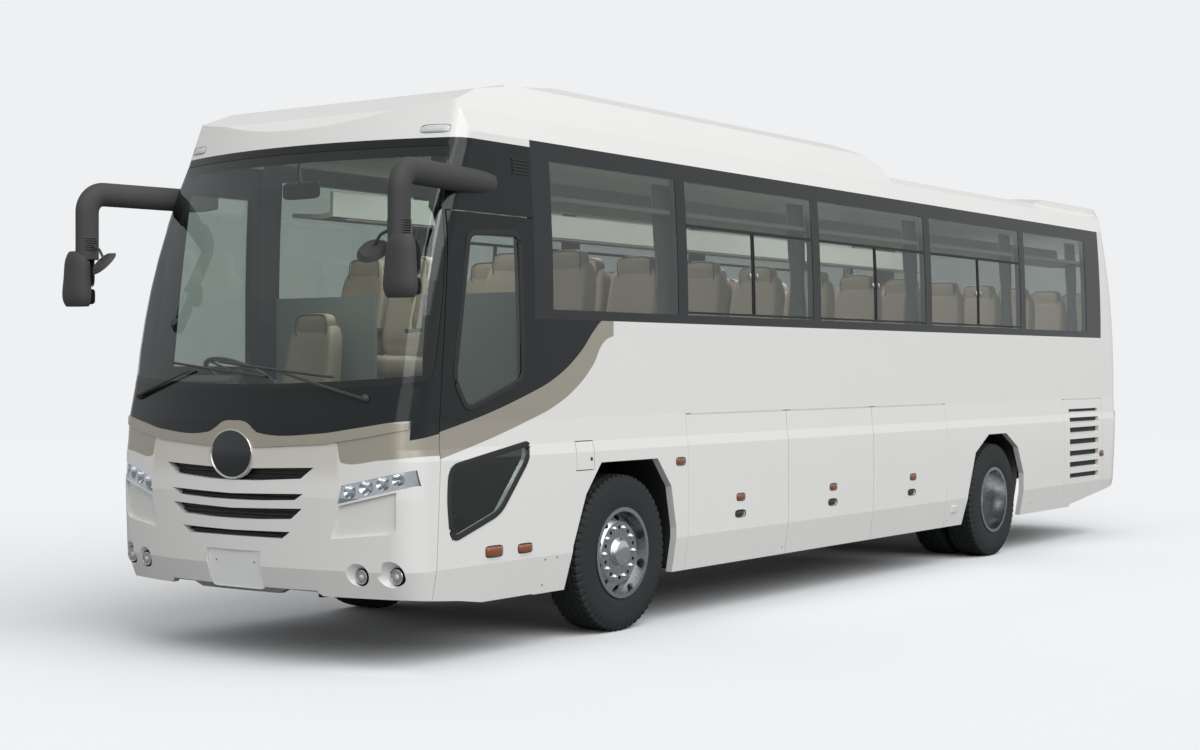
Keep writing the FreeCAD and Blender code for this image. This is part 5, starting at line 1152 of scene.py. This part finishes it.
@dataclass
class FrontTrim:
    """Blank number plate, bare oval on the moulding, and wipers."""

    plate_spot: Point = (5.909, 0.0, 0.5525)
    plate_half: Pair = (0.22, 0.1165)
    plate_lean: float = 0.046 / 0.24
    bolt: Point = (5.910, 0.16, 0.60)
    badge_spot: Point = (FRONT_X - 0.0035, 0.0, 1.238)
    badge_half: Pair = (0.167, 0.139)
    sweeps: tuple[tuple[Pair, Pair, Pair, Pair], ...] = (
        ((-1.03, 1.575), (-0.45, 1.735), (-0.66, 1.783), (0.21, 1.700)),
        ((0.92, 1.575), (0.30, 1.735), (0.69, 1.700), (-0.20, 1.790)))

    def build(self) -> None:
        """Makes the plate, the oval and the two wipers."""
        self.plate()
        self.badge()
        self.wipers()

    def plate(self) -> None:
        """The blank plate: a rounded outline that leans with the bumper, its rim and its two bolts."""
        face = upright(oval(*self.plate_half, 14.0, 64), self.plate_spot)
        face[:, 0] += (face[:, 2] - self.bolt[2]) * self.plate_lean
        shell = Shell("blank_plate", "coach_body", Finish.PLATE, Finish.STEEL)
        shell.add(dome(face, (1.0, 0.0, -0.1), 0.0, 2.0, 4, -0.0012))
        rim = face + np.array([0.0022, 0.0, 0.0])
        shell.add(hoop(grown(rim, (1.0, 0.985, 0.965)), 0.0022, 0.0022))
        for side in (1, -1):
            head = upright(oval(0.0075, 0.0075, 2.0, 16), (self.bolt[0], self.bolt[1] * side, self.bolt[2]))
            shell.add(dome(head, (1.0, 0.0, 0.0), 0.0045, 2.5, 5, 0.002), slot=1)
        shell.place()

    def badge(self) -> None:
        """The bare oval in its plated ring."""
        face = upright(oval(*self.badge_half, 2.0, 64), self.badge_spot)
        shell = Shell("bare_oval", "coach_body", Finish.BLACK_GLOSS, Finish.CHROME)
        shell.add(dome(face, (1.0, 0.0, 0.0), 0.006, 2.0, 9, 0.002))
        edge = grown(face, 1.035) + np.array([0.002, 0.0, 0.0])
        shell.add(hoop(edge, 0.0055, 0.0055, 10), slot=1).place()

    def wipers(self) -> None:
        """Two wipers: tapered arms over the glass and blades along it, both on the skin's own surface."""
        shell = Shell("wipers", "coach_body", Finish.BLACK_PLASTIC)
        hub_half = np.array([0.026, 0.026, 0.024, 0.020, 0.012])
        for pivot, middle, low, high in self.sweeps:
            arm = self.over_glass(pivot, middle, 14) + np.array([0.022, 0.0, 0.0])
            shell.add(tube(arm, np.linspace(0.013, 0.007, 14), np.linspace(0.010, 0.006, 14), 8, 4.0),
                      caps=True)
            blade = self.over_glass(low, high, 24)
            shell.add(tube(blade + np.array([0.007, 0.0, 0.0]), 0.004, 0.008, 8, 3.0), caps=True)
            blade[:, 0] += 0.010 + 0.012 * np.sin(np.linspace(0, 1, 24) * np.pi)
            shell.add(tube(blade, 0.006, 0.006, 8, 3.0), caps=True)
            hub = np.linspace(0, 1, 5)[:, None] * np.array([0.030, 0.0, 0.0]) + NOSE.skin(*pivot, -0.002)
            shell.add(tube(hub, hub_half, hub_half, 18), caps=True)
        shell.place()

    def over_glass(self, start: Pair, end: Pair, count: int) -> Array:
        """Points of the front skin along a line that is straight in front view, from (y, z) to (y, z)."""
        y, z = np.linspace(start, end, count).T
        return NOSE.skin(y, z)


@dataclass
class SideFittings:
    """Lamps, handles, seals and window bars of both sides, each on the door or panel that carries it."""

    lamps: tuple[tuple[str, float, float], ...] = (
        ("luggage_door_front", 2.125, 0.815), ("luggage_door_middle", 0.716, 0.814),
        ("luggage_door_rear", -0.707, 0.824), ("coach_body", 2.928, 1.106), ("service_door", -5.162, 0.855))
    handles: tuple[tuple[str, float], ...] = (
        ("luggage_door_front", 2.131), ("luggage_door_middle", 0.725), ("luggage_door_rear", -0.681))
    handle_z: float = 0.695
    well_y: float = 1.2285
    turn_lamps: tuple[tuple[float, float, Pair], ...] = (
        (4.992, 0.651, (0.079, 0.031)), (4.688, 0.647, (0.068, 0.026)))
    screws: tuple[Pair, ...] = (
        (4.478, 0.560), (4.355, 0.565), (4.478, 0.400), (1.48, 0.40), (-1.44, 0.40), (-3.30, 0.45))
    door_panes: tuple[tuple[Pair, ...], ...] = (
        ((1.134, 1.678), (1.159, 2.574), (1.650, 2.556), (1.795, 1.682), (1.676, 1.499)),
        ((1.124, 1.186), (1.083, 1.289), (1.855, 1.169), (1.869, 0.984), (1.842, 0.743), (1.391, 0.883)))
    sliding: tuple[Pair, ...] = ((2.80, 1.00), (0.87, -1.00), (-1.13, -3.08))
    sill_z: float = 2.135
    rail_z: float = 2.74
    lamp: Boss = Boss((0.052, 0.022), 4.0, 32, 0.001, 0.013, 4.0, 8, 0.004)
    cover: Boss = Boss((0.065, 0.039), 5.0, 36, 0.0005, 0.006, 6.0, 7, 0.003)
    screw: Boss = Boss((0.008, 0.008), 2.0, 14, 0.0003, 0.004, 2.4, 5, 0.002)
    lock: Boss = Boss((0.013, 0.013), 2.0, 20, 0.0006, 0.004, 2.5, 6, 0.002)
    catch: Boss = Boss((0.010, 0.024), 3.0, 18, 0.002, 0.008, 3.0, 5, 0.003)

    def build(self) -> None:
        """Builds each side's fittings; only the left has the entrance door's seals and the flap's lock."""
        for word, side in SIDES:
            self.side_lamps(word, side)
            self.door_handles(word, side)
            self.window_bars(word, side)
            if side > 0:
                self.door_seals()
            self.low_lamps(word, side)
            self.side_trim(word, side)
            if side > 0:
                lock = Shell("flap_lock", "filler_flap", Finish.GASKET)
                self.lock.seat(lock, 3.985, 1.165, side)
                lock.place()

    def side_lamps(self, word: str, side: int) -> None:
        """Small amber lamps with their gaskets."""
        for stem, x, z in self.lamps:
            body = stem if stem == "coach_body" else f"{stem}_{word}"
            shell = Shell(f"side_lamp_{int((x + 10) * 100)}_{word}", body, Finish.LAMP_AMBER, Finish.GASKET)
            base = self.lamp.seat(shell, x, z, side)
            shell.add(hoop(grown(base, (1.10, 1.0, 1.22)), 0.003, 0.003), slot=1).place()

    def door_handles(self, word: str, side: int) -> None:
        """Levers in the recesses of the luggage doors."""
        flip = np.array([1.0, side, 1.0])
        ring = oval(0.071, 0.0255, 3.2, 36)
        flat = np.stack([ring[:, 0], np.zeros(len(ring)), ring[:, 1]], -1)
        for stem, x in self.handles:
            spot = np.array([x, self.well_y, self.handle_z])
            shell = Shell(f"handle_{stem}_{word}", f"{stem}_{word}", Finish.BLACK_PLASTIC, Finish.STEEL)
            shell.add(dome((flat + spot) * flip, (0.0, side, 0.0), 0.0, 2.0, 4, -0.0015))
            edge = flat * np.array([1.03, 1.0, 1.05]) + spot + np.array([0.0, 0.017, 0.0])
            shell.add(hoop(edge * flip, 0.0035, 0.002))
            lever = spline([(x - 0.055, 1.236, 0.697), (x, 1.2415, 0.700), (x + 0.055, 1.236, 0.697)], 9)
            shell.add(tube(lever * flip, 0.004, 0.013, 10, 3.5), caps=True).place()

    def door_seals(self) -> None:
        """Broad black seals round the entrance door's two windows."""
        shell = Shell("door_seals_left", "entrance_door", Finish.GASKET)
        for outline in self.door_panes:
            line = rounded(np.asarray(outline) + np.array([AXLE_F, 0.0]), 0.075, 7)
            shell.add(hoop(side_skin(line[:, 0], line[:, 1], 0.001), 0.006, 0.019, 8, 4.0))
        shell.place()

    def low_lamps(self, word: str, side: int) -> None:
        """Turn and marker lamps low on the door, with gaskets; the plain side carries the same pair."""
        body = "entrance_door" if side > 0 else "coach_body"
        shell = Shell(f"turn_lamps_{word}", body, Finish.LAMP_AMBER, Finish.GASKET)
        for x, z, half in self.turn_lamps:
            base = Boss(half, 5.0, 36, 0.0005, 0.020, 5.0, 9, 0.003).seat(shell, x, z, side)
            shell.add(hoop(grown(base, (1.04, 1.0, 1.10)), 0.0025, 0.0025), slot=1)
        shell.place()

    def side_trim(self, word: str, side: int) -> None:
        """Five-slot louvre behind the door's top, the access cover and the skirt's screws."""
        shell = Shell(f"side_trim_{word}", "coach_body", Finish.GASKET, Finish.STEEL, Finish.PAINT)
        for z in np.linspace(2.945, 3.027, 5):
            slit = side_skin(np.linspace(4.588, 4.750, 7), z, 0.001) * np.array([1.0, side, 1.0])
            shell.add(tube(slit, 0.005, 0.0062, 8, 4.0), caps=True)
        self.cover.seat(shell, -1.55, 0.495, side, slot=2)
        for x, z in self.screws:
            self.screw.seat(shell, x, z, side, slot=1)
        shell.place()

    def window_bars(self, word: str, side: int) -> None:
        """Frames of the sliding panes, on the glass: level bars over and under, and upright bars between."""
        shell = Shell(f"window_bars_{word}", "coach_body", Finish.GASKET, Finish.STEEL)
        flip = np.array([1.0, side, 1.0])
        for fore, aft in self.sliding:
            for z, half in ((self.rail_z, 0.012), (self.sill_z, 0.008)):
                bar = side_skin(np.linspace(fore, aft, 16), z, -0.004) * flip
                shell.add(tube(bar, 0.006, half, 8, 5.0), caps=True)
            middle = (fore + aft) / 2
            for x in (middle - 0.012, middle + 0.012):
                bar = side_skin(x, np.linspace(self.sill_z, self.rail_z, 12), -0.005) * flip
                shell.add(tube(bar, 0.008, 0.005, 8, 5.0), caps=True)
            for x in (middle - 0.05, middle + 0.05):
                self.catch.seat(shell, x, 2.42, side, slot=1)
        shell.place()


@dataclass
class ArchLiners:
    """Black liners inside the wheel arches."""

    front: tuple[Pair, ...] = (
        (-0.575, 0.36), (-0.600, 0.62), (-0.565, 0.86), (-0.47, 1.03), (-0.33, 1.138), (0.0, 1.165),
        (0.30, 1.10), (0.484, 0.951), (0.60, 0.72), (0.68, 0.50), (0.716, 0.36))
    rear: tuple[Pair, ...] = (
        (-0.41, 0.38), (-0.53, 0.70), (-0.50, 0.95), (-0.36, 1.09), (-0.07, 1.145), (0.25, 1.13),
        (0.46, 1.03), (0.57, 0.90), (0.66, 0.65), (0.73, 0.36))
    outer_y: float = 1.188
    highest: float = 1.30

    def build(self) -> None:
        """Lofts each liner inwards from its arch, wider and a little higher as it goes in."""
        for word, side in SIDES:
            for end, x, line, inner in (("front", AXLE_F, self.front, 0.80),
                                        ("rear", AXLE_R, self.rear, 0.62)):
                edge = spline(line, 60)
                depth = np.linspace(0, 1, 6)[:, None]
                xs = x + edge[None, :, 0] * (1 + 0.10 * depth)
                zs = np.minimum(edge[None, :, 1] + 0.01 * depth, self.highest)
                ys = self.outer_y + (inner - self.outer_y) * depth * np.ones_like(xs)
                shell = Shell(f"arch_liner_{end}_{word}", "coach_body", Finish.CHASSIS)
                shell.add(np.stack([xs, ys * side, zs], -1), wrap=False)
                wall = shell.place(60.0).modifiers.new("wall", "SOLIDIFY")
                wall.thickness, wall.offset = 0.004, 0.0


@dataclass
class MirrorGlass:
    """Two mirror faces and the ribbed neck of each outside mirror."""

    faces: tuple[tuple[Pair, float], ...] = (((0.088, 0.095), 2.365), ((0.092, 0.045), 2.205))
    face_x: float = 5.910
    middle_y: float = 1.365
    neck: Pair = (5.930, 1.318)

    def build(self) -> None:
        """Makes the faces and ribs of both mirrors."""
        shell = Shell("mirror_faces", "coach_body", Finish.MIRROR, Finish.BLACK_PLASTIC, Finish.CHROME)
        for half, z in self.faces:
            face = upright(oval(*half, 6.0, 40), (self.face_x, self.middle_y, z))
            shell.pair(dome(face, (-1.0, 0.0, 0.0), 0.002, 4.0, 6, 0.002))
            shell.pair(hoop(grown(face, 1.04), 0.003, 0.003), slot=1)
        ring = oval(0.064, 0.068, 2.0, 26) + np.array(self.neck)
        for z in np.linspace(2.505, 2.575, 6):
            shell.pair(hoop(np.column_stack([ring, np.full(len(ring), z)]), 0.0035, 0.0045), slot=1)
        shell.place()


@dataclass
class Cabin:
    """Inner mirror, grab rail, gauges and rack lights."""

    mirror_spot: Point = (5.30, -0.05, 2.86)
    dials: tuple[Point, ...] = ((5.565, -0.66, 1.635), (5.565, -0.56, 1.635), (5.565, -0.46, 1.635))

    def build(self) -> None:
        """Makes the fittings that show through the glass."""
        shell = Shell("cab_fittings", "coach_body", Finish.BLACK_PLASTIC, Finish.MIRROR, Finish.STEEL)
        face = upright(oval(0.16, 0.055, 5.0, 36), self.mirror_spot)
        shell.add(dome(face, (1.0, 0.0, 0.0), 0.022, 3.0, 7, 0.004))
        inner = grown(face, 0.92) + np.array([-0.0045, 0.0, 0.0])
        shell.add(dome(inner, (-1.0, 0.0, 0.0), 0.001, 4.0, 5, 0.0), slot=1)
        stem = spline([(5.31, -0.05, 2.90), (5.32, -0.05, 2.98), (5.31, -0.05, 3.06)], 8)
        shell.add(tube(stem, 0.011, 0.011, 10), caps=True)
        rail = spline([(4.62, 0.46, 1.45), (4.62, 0.46, 1.9), (4.60, 0.50, 2.3)], 12)
        shell.add(tube(rail, 0.014, 0.014, 12), caps=True, slot=2)
        for dial in self.dials:
            ring = oval(0.040, 0.040, 2.0, 26)
            base = upright(ring, dial)
            base[:, 0] += ring[:, 1] * 0.15
            shell.add(dome(base, (-1.0, 0.0, 0.15), 0.003, 2.0, 5, 0.002))
            shell.add(hoop(base, 0.0022, 0.0022), slot=2)
        shell.place()
        lights = Shell("rack_lights", "coach_body", Finish.LAMP_WHITE)
        route = np.linspace((-4.95, 0.80, 2.792), (4.1, 0.80, 2.792), 40)
        lights.pair(tube(route, 0.022, 0.006, 10, 4.0), caps=True).place()


@dataclass
class RearFittings:
    """Lamps, painted shade in the louvre wells, blank plate and handle at the rear."""

    wells: tuple[Pair, ...] = (
        (1.275, 1.332), (1.163, 1.244), (1.046, 1.145), (0.923, 1.027), (0.806, 0.910), (0.694, 0.798),
        (0.589, 0.683))
    well_x: Pair = (-4.280, -5.074)
    well_y: float = 1.2125
    lamp_z: float = 3.08
    radius: float = 3.2
    foot_set: float = 0.11
    bow_set: float = 0.26

    def build(self) -> None:
        """Makes near-black sheets at the backs of the louvre wells as painted shade, the hatch's trim and the
        high lamps.
        """
        # painted shade: a near-black sheet at the back of each louvre well stands in for the shade inside it
        wells = Shell("louvre_backs", "service_door_left", Finish.GASKET)
        for low, high in self.wells:
            x, z = np.meshgrid(np.linspace(*self.well_x, 12), np.linspace(low + 0.004, high - 0.004, 5))
            wells.add(np.stack([x, np.full_like(x, self.well_y), z], -1), wrap=False)
        wells.place()
        self.hatch_trim()
        behind = (-1.0, 0.0, 0.2)
        lamps = Shell("rear_high_lamps", "coach_body", Finish.LAMP_RED, Finish.GASKET)
        ring = oval(0.075, 0.016, 4.0, 32)
        outer = self.tail(ring[:, 0] + 0.78, ring[:, 1] + self.lamp_z, 0.001)
        lamps.pair(dome(outer, behind, 0.012, 4.0, 6, 0.004))
        middle = self.tail(ring[:, 0] * 2.2, ring[:, 1] + self.lamp_z, 0.001)
        lamps.add(dome(middle, behind, 0.010, 4.0, 6, 0.004)).place()

    def hatch_trim(self) -> None:
        """The engine hatch's slats, its handle and its blank plate."""
        shell = Shell("rear_trim", "engine_hatch", Finish.GASKET, Finish.STEEL, Finish.PLATE)
        for z in np.linspace(0.86, 1.16, 9):
            slat = self.tail(np.linspace(-0.56, 0.56, 29), z, 0.0015)
            shell.add(tube(slat, 0.004, 0.011, 8, 4.0), caps=True)
        handle = self.tail(np.linspace(-0.10, 0.10, 13), 0.775, 0.006)
        shell.add(tube(handle, 0.007, 0.014, 10, 3.5), caps=True, slot=1)
        ring = oval(0.22, 0.0825, 12.0, 56)
        face = self.tail(ring[:, 0], ring[:, 1] + 1.36, 0.003)
        shell.add(dome(face, (-1.0, 0.0, 0.0), 0.002, 8.0, 5, 0.002), slot=2)
        shell.add(hoop(grown(face, (1.0, 1.01, 1.02)), 0.003, 0.003)).place()

    def tail(self, y: Array, z: Array, out: float) -> Array:
        """Points of the rear skin.

        A wide arc about the centre plane, set ahead at the foot by the square of the drop and at the top by
        the square of the rise.

        Args:
            y: distances to the left.
            z: heights.
            out: distance behind the skin.

        Returns:
            Array of points.
        """
        y, z = np.broadcast_arrays(np.asarray(y, float), np.asarray(z, float))
        low = self.foot_set * np.clip((WAIST_Z - z) / (WAIST_Z - SKIRT_Z), 0, 1) ** 2
        high = self.bow_set * np.clip((z - WAIST_Z) / (BAND_TOP_Z - WAIST_Z), 0, 1) ** 2
        big = self.radius - low - high
        return np.stack([REAR_X + self.radius - np.sqrt(big ** 2 - y ** 2) - out, y, z], -1)


@dataclass
class Studio:
    """Pale seamless floor, even sky and two broad soft suns."""

    backdrop: Colour = (0.865, 0.872, 0.886)
    ground: Colour = (0.85, 0.857, 0.87)
    bounce: float = 0.25
    sky: float = 0.55
    key: float = 1.8
    fill: float = 0.65
    cabin: float = 24.0
    floor_half: float = 400.0
    fade_from: float = 10.0
    fade_to: float = 42.0

    def build(self) -> None:
        """Makes the sky, the suns, the cabin's lights and the floor."""
        bpy.context.scene.view_settings.view_transform = "Standard"
        self.air()
        self.sun("key_sun", self.key, (math.radians(-45), math.radians(6), 0.0), 60.0)
        self.sun("fill_sun", self.fill, (math.radians(62), 0.0, math.radians(125)), 50.0)
        self.strip("front_saloon", 4.0, (1.6, 0.0, 3.22), 5.0)
        self.strip("rear_saloon", 4.0, (-3.0, 0.0, 3.22), 4.0)
        self.strip("cab", 1.0, (4.75, 0.0, 3.05), 1.0)
        self.floor()

    def air(self) -> None:
        """A sky that lights evenly, and a backdrop that only the camera sees, past glass too."""
        world = bpy.data.worlds.new("studio_sky")
        bpy.context.scene.world = world
        world.use_nodes = True
        tree = world.node_tree
        tree.nodes.clear()
        path = tree.nodes.new("ShaderNodeLightPath")
        seen = tree.nodes.new("ShaderNodeMath")
        seen.operation = "MAXIMUM"
        tree.links.new(path.outputs["Is Camera Ray"], seen.inputs[0])
        tree.links.new(path.outputs["Is Transmission Ray"], seen.inputs[1])
        lit, shown = tree.nodes.new("ShaderNodeBackground"), tree.nodes.new("ShaderNodeBackground")
        lit.inputs["Color"].default_value = (0.97, 0.985, 1.0, 1.0)
        lit.inputs["Strength"].default_value = self.sky
        shown.inputs["Color"].default_value = (*self.backdrop, 1.0)
        chosen, out = tree.nodes.new("ShaderNodeMixShader"), tree.nodes.new("ShaderNodeOutputWorld")
        tree.links.new(seen.outputs[0], chosen.inputs[0])
        tree.links.new(lit.outputs[0], chosen.inputs[1])
        tree.links.new(shown.outputs[0], chosen.inputs[2])
        tree.links.new(chosen.outputs[0], out.inputs["Surface"])

    def floor(self) -> None:
        """A matt floor that the camera sees paler than it is to the light, faded out far away."""
        half = self.floor_half
        mesh = bpy.data.meshes.new("floor")
        mesh.from_pydata([(-half, -half, 0), (half, -half, 0), (half, half, 0), (-half, half, 0)], [],
                         [(0, 1, 2, 3)])
        floor = bpy.data.objects.new("floor", mesh)
        bpy.context.scene.collection.objects.link(floor)
        graph = Graph("studio_floor")
        cloud = graph.noise(0.2, 2.0)
        seen = graph.node("ShaderNodeLightPath", out="Is Camera Ray")
        pale = graph.mix(cloud * 0.1, self.ground, tuple(c * 0.98 for c in self.ground))
        matt = graph.node("ShaderNodeBsdfDiffuse", inputs={
            "Color": graph.mix(seen, tuple(c * self.bounce for c in self.ground), pale)})
        x, y, _ = graph.place()
        far = (x * x + y * y).ramp(self.fade_from ** 2, self.fade_to ** 2)
        open_air = graph.node("ShaderNodeBsdfTransparent")
        graph.node("ShaderNodeOutputMaterial", inputs={
            "Surface": graph.node("ShaderNodeMixShader", inputs=[far, matt, open_air])})
        mesh.materials.append(graph.material)

    def strip(self, name: str, watts_share: float, spot: Point, length: float) -> None:
        """Adds a ceiling light inside the cabin, facing down.

        Args:
            name: its name.
            watts_share: share of the cabin's light.
            spot: its middle.
            length: length along the coach.
        """
        lamp = bpy.data.lights.new(name, "AREA")
        lamp.shape, lamp.size, lamp.size_y = "RECTANGLE", length, 1.1
        lamp.energy = self.cabin * watts_share
        light = bpy.data.objects.new(name, lamp)
        light.location = spot
        bpy.context.scene.collection.objects.link(light)

    def sun(self, name: str, strength: float, turn: Point, spread: float) -> None:
        """Adds one soft sun.

        Args:
            name: its name.
            strength: light in watts a square metre.
            turn: Euler angles in radians.
            spread: angle of the disc in degrees.
        """
        lamp = bpy.data.lights.new(name, "SUN")
        lamp.energy, lamp.angle = strength, math.radians(spread)
        light = bpy.data.objects.new(name, lamp)
        light.rotation_euler = turn
        bpy.context.scene.collection.objects.link(light)


@dataclass
class Viewpoint:
    """The camera that stood where the photograph was taken."""

    spot: Point = (13.785, 8.240, 1.760)
    yaw_deg: float = 35.265
    pitch_deg: float = -0.263
    lens: float = 56.14

    def build(self) -> None:
        """Makes the camera and gives it to the scene."""
        camera = bpy.data.cameras.new("viewpoint")
        camera.sensor_width, camera.lens = 36.0, self.lens
        camera.clip_start, camera.clip_end = 0.1, 1000.0
        holder = bpy.data.objects.new("viewpoint", camera)
        yaw, pitch = math.radians(self.yaw_deg), math.radians(self.pitch_deg)
        ahead = Vector((-math.cos(yaw) * math.cos(pitch), -math.sin(yaw) * math.cos(pitch), math.sin(pitch)))
        turn = ahead.to_track_quat("-Z", "Y")
        holder.location = self.spot
        holder.rotation_mode = "QUATERNION"
        holder.rotation_quaternion = turn
        bpy.context.scene.collection.objects.link(holder)
        bpy.context.scene.camera = holder


def main() -> None:
    """Builds the scene piece by piece."""
    Studio().build()
    Viewpoint().build()
    Bodywork().dress(frame["nodes"])
    for part in (Tyres(), WheelNuts(), Seats(), Curtains(), FrontLamps(), FrontTrim(), SideFittings(),
                 ArchLiners(), MirrorGlass(), Cabin(), RearFittings()):
        part.build()


if __name__ == "__main__":
    logging.basicConfig(level=logging.INFO, format="%(message)s")
    main()
